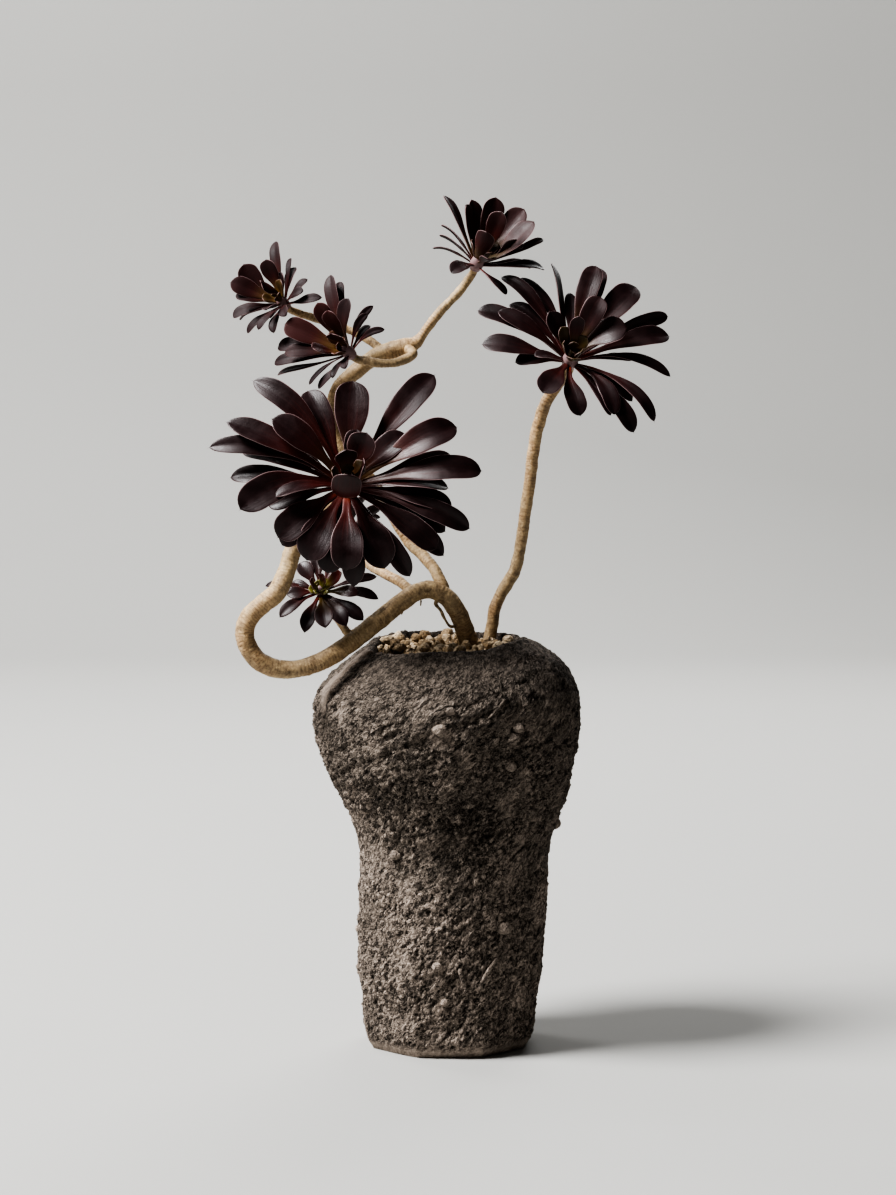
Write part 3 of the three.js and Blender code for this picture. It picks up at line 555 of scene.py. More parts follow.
def calc(tree, operation, first, second=0.0, third=0.0):
    inputs = {0: first, 1: second, 2: third}
    return add_node(tree, "ShaderNodeMath", inputs, operation=operation).outputs[0]


def times(tree, first, second):
    return calc(tree, "MULTIPLY", first, second)


def plus(tree, first, second):
    return calc(tree, "ADD", first, second)


def larger(tree, first, second):
    return calc(tree, "MAXIMUM", first, second)


def grade(tree, value, low, high, start=0.0, end=1.0):
    """A value between low and high, eased to between start and end."""
    inputs = {"Value": value, "From Min": low, "From Max": high, "To Min": start, "To Max": end}
    return add_node(tree, "ShaderNodeMapRange", inputs, interpolation_type="SMOOTHSTEP").outputs["Result"]


def blend(tree, share, first, second):
    """Two colours mixed; a plain colour is given as three numbers."""
    first, second = (c if isinstance(c, bpy.types.NodeSocket) else (*c, 1.0) for c in (first, second))
    inputs = {0: share, 6: first, 7: second}
    return add_node(tree, "ShaderNodeMix", inputs, data_type="RGBA").outputs[2]


def lay(tree, colour, tone, value, low, high, most=1.0):
    """A colour with a tone laid over it where a value runs from low to high."""
    return blend(tree, grade(tree, value, low, high, 0.0, most), colour, tone)


def speckle(tree, place, scale, detail=3.0, roughness=0.55, distortion=0.0):
    """Noise whose grains stand about 1 / scale metres apart."""
    inputs = {"Vector": place, "Scale": scale, "Detail": detail}
    inputs |= {"Roughness": roughness, "Distortion": distortion}
    return add_node(tree, "ShaderNodeTexNoise", inputs).outputs["Fac"]


def cells(tree, place, scale, feature="F1"):
    """Distance to the middle of a cell of about 1 / scale metres, or to its edge."""
    inputs = {"Vector": place, "Scale": scale}
    return add_node(tree, "ShaderNodeTexVoronoi", inputs, feature=feature).outputs["Distance"]


def attribute(tree, name):
    return add_node(tree, "ShaderNodeAttribute", {}, attribute_name=name).outputs["Fac"]


def raise_skin(tree, shader, layers):
    """Bump layers on a shader: each is a height, its distance in metres and its strength."""
    normal = None
    for height, distance, strength in layers:
        inputs = {"Height": height, "Distance": distance, "Strength": strength}
        if normal:
            inputs["Normal"] = normal
        normal = add_node(tree, "ShaderNodeBump", inputs).outputs["Normal"]
    tree.links.new(normal, shader.inputs["Normal"])


def slanted(tree, place, height, twist, squeeze):
    """Coordinates turned with their height, so that what is drawn from them leans round the pot."""
    angle = times(tree, height, twist)
    turned = add_node(
        tree, "ShaderNodeVectorRotate", {"Vector": place, "Angle": angle}, rotation_type="Z_AXIS",
    ).outputs[0]
    return add_node(tree, "ShaderNodeMapping", {"Vector": turned, "Scale": (1.0, 1.0, squeeze)}).outputs[0]


def stoneware(pot):
    """Coarse dark clay: a sandy grain, leaning slots and cracks, painted shade in its hollows, dusty worn
    places and pale pellets.
    """
    material, tree, shader, place = new_material("rough_stoneware")
    worn = attribute(tree, "worn")
    high = attribute(tree, "high")
    pellet = attribute(tree, "pellet")
    height = add_node(tree, "ShaderNodeSeparateXYZ", {0: place}).outputs["Z"]
    drawn = slanted(tree, place, height, -6.0, 0.8)
    stir = add_node(tree, "ShaderNodeTexNoise", {"Vector": drawn, "Scale": 420.0, "Detail": 2.0})
    inputs = {0: stir.outputs["Color"], 1: (0.0035,) * 3, 2: drawn}
    bent = add_node(tree, "ShaderNodeVectorMath", inputs, operation="MULTIPLY_ADD").outputs[0]
    flakes = add_node(tree, "ShaderNodeTexVoronoi", {"Vector": bent, "Scale": 270.0})
    flake = add_node(tree, "ShaderNodeSeparateColor", {0: flakes.outputs["Color"]}).outputs[0]
    crack = cells(tree, bent, 270.0, "DISTANCE_TO_EDGE")
    crumb = cells(tree, bent, 640.0)
    slots = speckle(tree, slanted(tree, place, height, -17.0, 0.8), 300.0, 4.0, 0.6, 0.3)
    grain = speckle(tree, place, 1250.0, 2.0, 0.6)
    patches = speckle(tree, place, 26.0, 4.0, 0.6, 0.6)
    dust = speckle(tree, place, 120.0, 5.0, 0.7)
    split = grade(tree, crack, 0.0, 0.09, grade(tree, dust, 0.40, 0.58), 1.0)
    # Darker where the clay lies low: painted shade in its hollows, under the bulge and along the fold's
    # crease; the sand's grain adds its own tone.
    depth = plus(tree, times(tree, high, 0.36), times(tree, flake, 0.12))
    depth = plus(tree, depth, times(tree, grain, 0.85))
    colour = blend(tree, grade(tree, depth, 0.30, 0.92), pot.clay_dark_and_shade, pot.clay_mid)
    pale = plus(tree, patches, times(tree, flake, 0.12))
    pale = plus(tree, pale, grade(tree, height, 0.20, 0.02, 0.0, 0.26))
    pale = times(tree, grade(tree, pale, 0.56, 0.8), grade(tree, depth, 0.5, 0.95))
    colour = blend(tree, pale, colour, pot.clay_pale)
    dusted = times(tree, worn, grade(tree, dust, 0.2, 0.7, 0.15, 0.7))
    colour = blend(tree, dusted, colour, pot.clay_pale)
    colour = blend(tree, times(tree, pellet, 0.35), colour, pot.clay_pale)
    # Darker towards the lip.
    colour = lay(tree, colour, pot.clay_dark_and_shade, height, 0.19, 0.232, 0.5)
    # Painted shade in the cracks, in the gaps between crumbs and in the slots, left off the worn places and
    # the pellets.
    shade = times(tree, split, grade(tree, crumb, 0.85, 0.45, 0.45, 1.0))
    shade = times(tree, shade, grade(tree, slots, 0.36, 0.44, 0.25, 1.0))
    smoothed = larger(tree, times(tree, worn, 0.85), times(tree, pellet, 1.2))
    colour = blend(tree, larger(tree, shade, smoothed), pot.clay_dark_and_shade, colour)
    tree.links.new(colour, shader.inputs["Base Color"])
    tree.links.new(grade(tree, grain, 0.2, 0.8, 0.82, 0.98), shader.inputs["Roughness"])
    shader.inputs["Specular IOR Level"].default_value = 0.22
    keep = calc(tree, "SUBTRACT", 1.0, times(tree, worn, 0.8))
    step = times(tree, times(tree, flake, split), keep)
    slot = times(tree, grade(tree, slots, 0.34, 0.5), keep)
    grit = times(tree, calc(tree, "SUBTRACT", grain, crumb), keep)
    raise_skin(tree, shader, [(step, 0.0009, 1.0), (slot, 0.0011, 1.0), (grit, 0.0013, 1.0)])
    return material


def potting_soil(grit):
    """Dark crumbly soil with paler fibres."""
    material, tree, shader, place = new_material("potting_soil")
    crumbs = cells(tree, place, 420.0)
    fibres = speckle(tree, place, 260.0, 6.0, 0.7, 1.2)
    colour = blend(tree, grade(tree, fibres, 0.45, 0.75), grit.soil, [4.0 * c for c in grit.soil])
    colour = blend(tree, grade(tree, crumbs, 0.0, 0.5, 0.6, 0.0), colour, [0.3 * c for c in grit.soil])
    tree.links.new(colour, shader.inputs["Base Color"])
    tree.links.new(grade(tree, fibres, 0.3, 0.7, 0.85, 1.0), shader.inputs["Roughness"])
    raise_skin(tree, shader, [(crumbs, 0.0015, 0.8), (fibres, 0.001, 0.6)])
    return material


def pumice(grit):
    """Pale foamy granules, each with its own tint, pitted and dusty."""
    material, tree, shader, place = new_material("pumice")
    tint = attribute(tree, "tint")
    pits = cells(tree, place, 950.0)
    stain = speckle(tree, place, 240.0, 5.0, 0.65, 0.5)
    foam = grade(tree, speckle(tree, place, 560.0, 4.0, 0.65, 0.4), 0.34, 0.62)
    colour = blend(tree, grade(tree, tint, 0.15, 1.1), grit.tan, grit.pale)
    colour = lay(tree, colour, grit.tan, stain, 0.5, 0.72, 0.75)
    colour = lay(tree, colour, [0.35 * c for c in grit.tan], foam, 0.5, 0.05, 0.75)
    tree.links.new(colour, shader.inputs["Base Color"])
    tree.links.new(grade(tree, stain, 0.2, 0.8, 0.8, 1.0), shader.inputs["Roughness"])
    raise_skin(tree, shader, [(foam, 0.0008, 0.9), (pits, 0.0006, 0.8)])
    return material


def bark(stems):
    """Tan bark: soft rings of leaf scars, broad warm and brown mottling, and stains that darken with age."""
    material, tree, shader, place = new_material("stem_bark")
    age = attribute(tree, "age")
    uv = add_node(tree, "ShaderNodeUVMap", {}).outputs[0]
    along = add_node(tree, "ShaderNodeSeparateXYZ", {0: uv}).outputs["Y"]
    wobble = times(tree, speckle(tree, place, 90.0, 4.0), 24.0)
    rings = calc(tree, "MULTIPLY_ADD", along, 2 * math.pi * MM / stems.ring_spacing, wobble)
    rings = calc(tree, "SINE", rings)
    mottle = speckle(tree, place, 60.0, 4.0, 0.6, 0.5)
    pores = speckle(tree, place, 900.0, 3.0, 0.6)
    blots = speckle(tree, place, 150.0, 5.0, 0.6, 1.0)
    flecks = speckle(tree, place, 420.0, 3.0, 0.6, 0.4)
    flush = speckle(tree, place, 34.0, 2.0)
    bleached = [1.35 * c for c in stems.bark_young]
    dusty = [1.2 * c for c in stems.bark_young]
    colour = blend(tree, age, stems.bark_young, stems.bark_old)
    colour = lay(tree, colour, stems.bark_flush, flush, 0.38, 0.62, 0.75)
    colour = lay(tree, colour, stems.bark_old, mottle, 0.45, 0.66, 0.7)
    stain = times(tree, grade(tree, blots, 0.52, 0.70), grade(tree, age, 0.0, 1.0, 0.3, 0.75))
    colour = blend(tree, stain, colour, stems.bark_stain)
    scars = times(tree, grade(tree, rings, 0.1, 1.0), grade(tree, flush, 0.38, 0.6, 0.12, 0.42))
    colour = blend(tree, scars, colour, stems.bark_stain)
    colour = lay(tree, colour, bleached, flecks, 0.5, 0.7, 0.6)
    colour = lay(tree, colour, stems.bark_stain, flecks, 0.47, 0.3, 0.45)
    colour = lay(tree, colour, dusty, pores, 0.45, 0.8, 0.4)
    colour = lay(tree, colour, stems.bark_stain, pores, 0.42, 0.28, 0.3)
    tree.links.new(colour, shader.inputs["Base Color"])
    tree.links.new(grade(tree, pores, 0.3, 0.7, 0.5, 0.7), shader.inputs["Roughness"])
    shader.inputs["Specular IOR Level"].default_value = 0.35
    raise_skin(tree, shader, [(scars, 0.0006, -0.6), (flecks, 0.0005, 0.5), (pores, 0.0003, 0.5)])
    return material


def leaf_skin(leaves, name, red, green, pale, gloss):
    """Dark satin leaf: red, green and a painted backlit glow at its foot, a pale rim partly painted
    highlight, long streaks and a leathery grain.
    """
    material, tree, shader, place = new_material(name)
    uv = add_node(tree, "ShaderNodeSeparateXYZ", {0: add_node(tree, "ShaderNodeUVMap", {}).outputs[0]})
    turn = times(tree, uv.outputs["X"], 2 * math.pi)
    across = calc(tree, "ABSOLUTE", calc(tree, "COSINE", turn))
    along = uv.outputs["Y"]
    youth = attribute(tree, "youth")
    tint = attribute(tree, "tint")
    mottle = speckle(tree, place, 110.0, 4.0, 0.6, 0.4)
    grain = speckle(tree, place, 1300.0, 3.0, 0.6)
    inputs = {0: times(tree, uv.outputs["X"], 44.0), 1: along, 2: tint}
    streaks = speckle(tree, add_node(tree, "ShaderNodeCombineXYZ", inputs).outputs[0], 1.0, 3.0, 0.6)
    lighter = [1.9 * c for c in leaves.dark]
    colour = blend(tree, grade(tree, mottle, 0.3, 0.75, 0.0, 0.8), leaves.dark, lighter)
    colour = lay(tree, colour, leaves.red, streaks, 0.5, 0.8, 0.22)
    reach = plus(tree, 0.4, times(tree, youth, 0.4))
    foot = grade(tree, calc(tree, "SUBTRACT", along, times(tree, streaks, 0.3)), reach, -0.15)
    flush = times(tree, foot, grade(tree, tint, 0.0, 1.0, 0.5 * red, red))
    flush = larger(tree, flush, times(tree, grade(tree, youth, 0.35, 1.0), pale))
    colour = blend(tree, flush, colour, leaves.red)
    # Painted glow of light shining through the foot of the blade.
    painted_glow = times(tree, grade(tree, along, 0.18, 0.04), grade(tree, tint, 0.4, 1.0, 0.0, 0.65 * red))
    colour = blend(tree, painted_glow, colour, leaves.painted_glow)
    heart = times(tree, grade(tree, along, mix(0.3, 0.62, green), 0.05), grade(tree, youth, 0.2, 0.6))
    heart = larger(tree, heart, times(tree, grade(tree, youth, 1.0, 1.05), green))
    colour = blend(tree, times(tree, heart, green), colour, leaves.green)
    # Pale hairline round the blade, partly a painted highlight of its rim catching the light.
    colour = lay(tree, colour, leaves.margin, across, 0.95, 0.985, 0.85)
    tree.links.new(colour, shader.inputs["Base Color"])
    matt = grade(tree, mottle, 0.25, 0.75, mix(0.50, 0.27, gloss), mix(0.64, 0.46, gloss))
    tree.links.new(calc(tree, "MULTIPLY_ADD", streaks, 0.12, matt), shader.inputs["Roughness"])
    shader.inputs["Specular IOR Level"].default_value = mix(0.2, 0.38, gloss)
    raise_skin(tree, shader, [(streaks, 0.0004, 0.25), (grain, 0.00025, 0.35)])
    return material


def paper(stage):
    """Matt seamless paper."""
    material, tree, shader, place = new_material("seamless_paper")
    cloud = speckle(tree, place, 1.3, 2.0)
    colour = blend(tree, grade(tree, cloud, 0.3, 0.7), [0.985 * c for c in stage.paper], stage.paper)
    tree.links.new(colour, shader.inputs["Base Color"])
    shader.inputs["Roughness"].default_value = 0.9
    return material


# ---------------------------------------------------------------- pot
def lip_shift(turn, height):
    """How far the tilt, the sag and the rise of the lip move a point of the wall up, in mm."""
    shift = LIP["tilt"] * math.sin(turn)
    for local in (LIP["sag"], LIP["rise"]):
        away = (math.degrees(turn) - local["at"] + 180) % 360 - 180
        shift += local["by"] * math.exp(-((away / local["width"]) ** 2))
    return smooth(LIP["from"], LIP["to"], height) * shift


def wall_point(turn, height):
    """A point of the wall, in mm, before its relief."""
    half_width, shift, half_depth, facet = row_at(POT_WALL, height)
    off = (turn + math.pi / 8) % (math.pi / 4) - math.pi / 8
    grow = 1.0 + facet * (1.0 / math.cos(off) - 1.0) * (1.0 - 0.25 * facet)
    return Vector((
        shift + half_width * grow * math.cos(turn),
        half_depth * grow * math.sin(turn),
        height + lip_shift(turn, height),
    ))


def near_fold(point):
    """Distance from the fold's crease, and how far a point lies to its left, in mm."""
    best = (99.0, 0.0)
    if point.x > -20 or point.z < 190:
        return best
    for start, end in zip(FOLD, FOLD[1:]):
        start, end = Vector(start), Vector(end)
        along = end - start
        share = min(max((point - start).dot(along) / along.length_squared, 0.0), 1.0)
        gap = point - start - along * share
        if gap.length < best[0]:
            best = (gap.length, gap.y + 0.4 * gap.z - 0.3 * gap.x)
    return best


def clay_relief(point, turn, height):
    """How far the clay stands out at a point, as a share of the relief, how worn it is, and how high it
    stands for its colour, with painted shade.
    """
    swell = 0.4 * math.sin(3 * turn + 0.03 * height) + 0.3 * math.sin(5 * turn - 0.045 * height + 1.3)
    drawn = Matrix.Rotation(-0.006 * height, 3, "Z") @ point
    drawn.z *= 0.8
    bent = drawn + 1.5 * noise.noise_vector(drawn / 2.4)
    gaps, middles = noise.voronoi(bent / 3.6)
    flake = chance(middles[0].x + 2.3 * middles[0].y + 5.1 * middles[0].z) - 0.5
    leant = Matrix.Rotation(-0.015 * height, 3, "Z") @ point
    lump = noise.noise(point / 17.0) + 0.9 * noise.noise(leant / 7.0)
    scales = noise.voronoi((leant + 2.5 * noise.noise_vector(leant / 6.0)) / 7.5)[1]
    scale = chance(scales[0].x + 2.3 * scales[0].y + 5.1 * scales[0].z) - 0.5
    scale *= mix(0.5, 1.1, smooth(125, 165, height) * smooth(225, 205, height))
    crumb = smooth(0.0, 0.2, gaps[1] - gaps[0])
    rough = noise.fractal(bent / 1.8, 0.7, 2.1, 3)
    gap, leftward = near_fold(point)
    band = smooth(18.0, 10.0, gap) * smooth(-0.5, 0.8, leftward)
    bare = (point - wall_point(math.radians(-93), 190)).length
    worn = max(
        smooth(9.0, 3.0, height),
        0.4 * smooth(214, 226, height) * smooth(0.2, 0.9, -math.sin(turn)),
        0.4 * smooth(0.22, 0.5, noise.noise(point / 16.0 + Vector((7, 3, 5)))),
        0.6 * smooth(8.5, 5.0, bare),
        band,
    )
    waist = smooth(205, 180, height) * smooth(118, 135, height)
    zone = mix(0.55, 1.2, waist) + 0.35 * smooth(112, 85, height)
    # A patch of painted shade under the bulge at the front.
    bulge_shade = smooth(34.0, 10.0, (point - wall_point(math.radians(-84), 128)).length)
    deep = (1.0 - 0.9 * worn) * (zone * (0.35 * crumb - 0.25 + 0.4 * flake + 0.95 * rough) + scale)
    crease = -1.3 * math.exp(-((gap / 1.1) ** 2)) + 0.7 * band * smooth(9.0, 1.5, gap)
    # How high the clay stands, for its colour: low places and the patch under the bulge get painted shade.
    high = min(max(0.45 + 0.15 * crumb + 0.3 * flake + 0.7 * rough, 0.0), 1.0) - 0.4 * bulge_shade
    broad = smooth(0.0, 10.0, height) * (swell + 0.75 * lump) / 1.25
    # The colour's height falls to nothing along the fold's crease: painted shade.
    return broad + deep + crease, worn, high * smooth(0.4, 1.8, gap)


def pot_profile():
    """Stations along half a cut through the pot: up the outside, over the lip and down the inside."""
    outside = []
    for low, high in zip(POT_WALL, POT_WALL[1:]):
        count = max(1, round(math.hypot(high[0] - low[0], high[1] - low[1]) / 1.3))
        outside += [mix(low[0], high[0], k / count) for k in range(count)]
    stations = [("foot", 0.0), ("foot", 0.5), ("foot", 0.9)]
    stations += [("wall", height) for height in outside]
    stations += [("wall", LIP_OUTSIDE[0]), ("lip", 0.33), ("lip", 0.66)]
    for high, low in zip(POT_HOLLOW, POT_HOLLOW[1:]):
        count = max(1, round(math.hypot(high[0] - low[0], high[1] - low[1]) / 9.0))
        stations += [("hollow", mix(high[0], low[0], k / count)) for k in range(count)]
    return [*stations, ("hollow", FLOOR_HEIGHT), ("floor", 0.0)]


def pot_vertex(kind, value, turn):
    """A point of the pot at a station of its cut, before its relief."""
    if kind == "foot":
        rim = wall_point(turn, 0.0)
        return Vector((rim.x * value, rim.y * value, 0.0))
    if kind == "wall":
        return wall_point(turn, value)
    if kind == "floor":
        return Vector((0.0, 0.0, FLOOR_HEIGHT))
    if kind == "lip":
        height, radius = (mix(a, b, value) for a, b in zip(LIP_OUTSIDE, LIP_INSIDE))
        bulge = LIP_BULGE * math.sin(math.pi * value)
    else:
        height, radius = value, row_at(POT_HOLLOW[::-1], value)[0]
        bulge = 0.0
    rim = wall_point(turn, height)
    return Vector((radius * math.cos(turn), radius * math.sin(turn), rim.z + bulge))


def spin_line(bm, rows, steps):
    """A line of radius, height rows spun full circle about Z."""
    line = [bm.verts.new((radius, 0.0, height)) for radius, height in rows]
    edges = [bm.edges.new(pair) for pair in zip(line, line[1:])]
    bmesh.ops.spin(
        bm, geom=line + edges, cent=(0, 0, 0), axis=(0, 0, 1), angle=2 * math.pi, steps=steps, use_merge=True,
    )


def shape_pot(bm, relief):
    """A line of stations spun round, its rings put in their places and the relief raised on them."""
    worn = bm.verts.layers.float.new("worn")
    high = bm.verts.layers.float.new("high")
    profile = pot_profile()
    spin_line(bm, [(1.0, k) for k in range(len(profile))], 360)
    relieved = []
    for vert in bm.verts:
        kind, value = profile[round(vert.co.z)]
        turn = math.atan2(vert.co.y, vert.co.x)
        vert.co = pot_vertex(kind, value, turn)
        vert[high] = 0.6
        if kind in ("wall", "lip"):
            relieved.append((vert, turn, value if kind == "wall" else LIP_OUTSIDE[0]))
    bmesh.ops.remove_doubles(bm, verts=bm.verts[:], dist=1e-5)
    bmesh.ops.recalc_face_normals(bm, faces=bm.faces[:])
    bm.normal_update()
    for vert, turn, height in relieved:
        out, vert[worn], vert[high] = clay_relief(vert.co, turn, height)
        vert.co += vert.normal * out * relief / MM * smooth(-0.1, 2.5, height)
        vert.co.z = max(vert.co.z, 0.0)


def add_pellets(bm):
    """Pebbles and pellets of clay, half sunk in the wall."""
    pellet = bm.verts.layers.float.new("pellet")
    high = bm.verts.layers.float["high"]
    for number, (degrees, height, radius) in enumerate(KNOBS):
        turn = math.radians(degrees)
        at = wall_point(turn, height)
        at.xy *= 0.99
        verts = bmesh.ops.create_icosphere(bm, subdivisions=3, radius=radius)["verts"]
        for vert in verts:
            vert.co *= 1.0 + 0.22 * noise.noise(vert.co / radius * 1.1 + Vector((number, 0, 0)))
            vert.co.z *= 0.85
            vert.co += at
            vert[pellet] = 0.35 + 0.6 * chance(number)
            vert[high] = 0.8


def add_strands(bm):
    """Roots and threads that lie on the wall."""
    pellet = bm.verts.layers.float["pellet"]
    high = bm.verts.layers.float["high"]
    for strand in STRANDS:
        route = []
        for degrees, height, radius in strand:
            route.append((*(wall_point(math.radians(degrees), height) * PROUD), radius))
        for vert in add_tube(bm, route, 0.8, 8):
            vert[pellet] = 0.1
            vert[high] = 0.8


def add_tube(bm, route, step, around, relief=None):
    """A round stem along a route, pushed in and out by relief(distance, point) in mm."""
    stations = follow(route, step)
    last = len(stations) - 1

    def place(u, v):
        centre, radius, heading, side, distance = stations[round(v * last)]
        if v < 1e-6 or v > 1.0 - 1e-6:
            return centre
        turn = 2 * math.pi * (u % 1.0)
        out = side * math.cos(turn) + heading.cross(side) * math.sin(turn)
        girth = radius
        if distance < radius:
            girth *= math.sin(math.pi / 2 * min(1.0, distance / radius / 0.6)) ** 0.5
        if relief:
            girth += relief(distance, centre + out * radius)
        return centre + out * girth

    verts = wrap_grid(bm, around, last, place)
    uv = bm.loops.layers.uv.verify()
    for face in {face for vert in verts for face in vert.link_faces}:
        for loop in face.loops:
            loop[uv].uv.y *= stations[-1][4]
    return verts


def to_metres(bm):
    """The mesh, made in millimetres, brought to metres."""
    bmesh.ops.scale(bm, vec=(MM, MM, MM), verts=bm.verts[:])


def make_pot(settings):
    noise.seed_set(RELIEF_SEED)
    bm = bmesh.new()
    shape_pot(bm, settings.relief)
    add_pellets(bm)
    add_strands(bm)
    to_metres(bm)
    finish_piece("stoneware_pot", bm, [stoneware(settings)], "pot")


# ---------------------------------------------------------------- soil and grit
def make_soil(settings):
    """The soil keeps its solid and gets its finish."""
    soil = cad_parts["soil"]
    soil.data.materials.clear()
    soil.data.materials.append(potting_soil(settings))


BED_RADIUS = 43.4
BED_TOP = 229.2
BED_FOOT = 222.4


def add_bed(bm):
    """The bed of grit that the granules lie on."""
    rows = [(BED_RADIUS * k / 8, BED_TOP) for k in range(9)]
    rows += [(BED_RADIUS, 226.0), (BED_RADIUS, BED_FOOT), (0.0, BED_FOOT)]
    spin_line(bm, rows, 48)
    bmesh.ops.remove_doubles(bm, verts=bm.verts[:], dist=1e-5)
    for vert in bm.verts:
        if vert.co.z > BED_TOP - 1.2:
            vert.co.z = bed_height(vert.co)
    for face in bm.faces:
        face.material_index = 1


def clear_of_stems(point, gap):
    """Whether a granule of the grit lies clear of both stems."""
    for route in (LOOPING_STEM, UPRIGHT_STEM):
        for row in route[1:4]:
            if (Vector(row[:3]) - point).length < row[3] + gap:
                return False
    return True


def bed_height(point):
    """The grit lies in a low heap behind the stems."""
    return BED_TOP + 2.6 * smooth(-8.0, 26.0, point.y) * smooth(44.0, 30.0, point.xy.length)


def add_granules(bm, count, size, radius):
    """Lumps of foamy stone in a loose spiral, two in three on the bed and the third on top of them."""
    for number in range(count):
        upper = number % 3 == 2
        half = size * (0.26 + 0.4 * chance(number + 0.3) ** 1.6)
        far = (radius - half) * math.sqrt((number + 0.5) / count)
        turn = number * GOLDEN_ANGLE + 0.3 * chance(number + 0.7)
        at = Vector((far * math.cos(turn), far * math.sin(turn), 0.0))
        at.z = bed_height(at) + half * 0.4 + (half * 1.3 if upper else 0.0) + 1.0 * chance(number + 0.9)
        if not clear_of_stems(at, half * 0.8):
            continue
        granule = bmesh.new()
        tint = granule.verts.layers.float.new("tint")
        bmesh.ops.create_uvsphere(granule, u_segments=9, v_segments=6, radius=1.0)
        spin = Matrix.Rotation(6.3 * chance(number + 0.1), 3, "Z")
        spin @= Matrix.Rotation(6.3 * chance(number), 3, "X")
        stretch = Vector((1.0 + 0.4 * chance(number + 0.2), 1.0, 0.75 + 0.25 * chance(number + 0.4)))
        for vert in granule.verts:
            lobe = noise.voronoi(vert.co + Vector((number * 3.7, 0, 0)))[0]
            bump = 1.3 - 0.75 * lobe[0] ** 1.3
            bump += 0.2 * noise.noise(vert.co * 2.3 + Vector((0, number * 1.9, 0)))
            vert.co = spin @ (vert.co * stretch) * bump * half + at
            vert[tint] = chance(number + 0.6)
        merge_into(bm, granule)


def make_grit(settings):
    bm = bmesh.new()
    add_bed(bm)
    add_granules(bm, settings.granules, settings.size / MM, BED_RADIUS - 1.2)
    to_metres(bm)
    finish_piece("pumice_grit", bm, [pumice(settings), potting_soil(settings)], "grit_topping")


# ---------------------------------------------------------------- stems
def shoot_to(name, radius):
    """The end of a shoot: it turns into its rosette's axis and ends in the core."""
    rosette = ROSETTES[name]
    out = Vector(rosette["axis"]).normalized()
    end = Vector(rosette["heart"]) - out * (rosette["core"][1] + 0.3)
    before = end - out * 1.6 * radius
    return [[*before, radius], [*(end + out * 2.0), radius * 0.96]]


def add_stem(bm, route, step, around, stems, ages, ring_share):
    """One stem with its scars: ages are those of the bark at its start and its end, 1 for the oldest."""
    age = bm.verts.layers.float["age"]
    spacing = stems.ring_spacing / MM
    depth = stems.ring_depth / MM * ring_share

    def relief(distance, point):
        wobble = 0.5 * noise.noise(point / 4.5) + 1.8 * noise.noise(point / 11.0)
        ring = math.cos(2 * math.pi * (distance + wobble) / spacing)
        strong = 0.1 + 1.1 * smooth(-0.2, 0.45, noise.noise(point / 10.0 + Vector((2, 9, 4))))
        groove = -depth * strong * max(0.0, ring) ** 2
        return groove + 0.34 * noise.noise(point / 6.0) + 0.2 * noise.noise(point / 2.3)

    length = follow(route, 4.0)[-1][4]
    uv = bm.loops.layers.uv.verify()
    for vert in add_tube(bm, route, step, around, relief):
        share = min(loop[uv].uv.y for loop in vert.link_loops) / length
        vert[age] = mix(ages[0], ages[1], share)


# Each shoot of the looping stem: its route, the rosette it ends in, its radius there, the distance between
# its rings of vertices, how many each ring has, the age of its bark at either end, and its scars' depth.
SHOOTS = [
    (LOOPING_STEM, "rosette_large", 4.6, 0.5, 28, (0.75, 0.0), 1.0),
    (TALL_BRANCH, "rosette_top", 2.4, 0.55, 20, (0.55, 0.1), 0.6),
    (CURLED_BRANCH, "rosette_middle_left", 2.4, 0.55, 18, (0.5, 0.4), 0.6),
    (LEFT_BRANCH, "rosette_upper_left", 2.2, 0.55, 18, (0.5, 0.5), 0.6),
    (REAR_BRANCH, "rosette_rear", 2.4, 0.55, 18, (0.6, 0.3), 0.6),
    (LOW_BRANCH, "rosette_low", 2.2, 0.55, 18, (0.6, 0.5), 0.6),
]


def make_looping_stem(stems):
    bm = bmesh.new()
    bm.verts.layers.float.new("age")
    for route, name, radius, step, around, ages, ring_share in SHOOTS:
        add_stem(bm, [*route, *shoot_to(name, radius)], step, around, stems, ages, ring_share)
    for route in AERIAL_ROOTS:
        add_stem(bm, route, 0.5, 9, stems, (0.3, 0.2), 0.2)
    to_metres(bm)
    finish_piece("looping_stem", bm, [bark(stems)], "stem_looping")


def make_upright_stem(stems):
    bm = bmesh.new()
    bm.verts.layers.float.new("age")
    add_stem(bm, [*UPRIGHT_STEM, *shoot_to("rosette_right", 3.4)], 0.5, 24, stems, (0.8, 0.1), 0.7)
    to_metres(bm)
    finish_piece("upright_stem", bm, [bark(stems)], "stem_upright")


# ---------------------------------------------------------------- rosettes
STALK_SHARE = 0.27
WIDEST_AT = 0.8
LEAF_ROWS = 30


def blade_width(share, blunt, youth):
    """The width of a spoon-shaped blade: a narrow stalk, widest near the end, with a small point."""
    blade = min(share / 0.975, 1.0)
    narrow = mix(STALK_SHARE, 0.6, smooth(0.45, 0.85, youth))
    stalk = narrow * (0.65 + 0.35 * smooth(0.0, 0.25, blade))
    spread = stalk + (1.0 - narrow) * smooth(0.27, WIDEST_AT - 0.08, blade)
    past = max(0.0, (blade - WIDEST_AT) / (1.0 - WIDEST_AT))
    point = 0.09 * smooth(1.0, 0.93, share)
    closed = (1.0 - past ** mix(1.7, 2.9, blunt)) ** mix(0.75, 0.47, blunt)
    return max(min(1.0, spread) * closed, point)


def tip_of(heart, out, right, up, rise):
    """The tip of a listed leaf: right and up as seen from the front, and rise along the axis."""
    away = (rise - right * out.x - up * out.z) / out.y
    return heart + Vector((right, away, up))


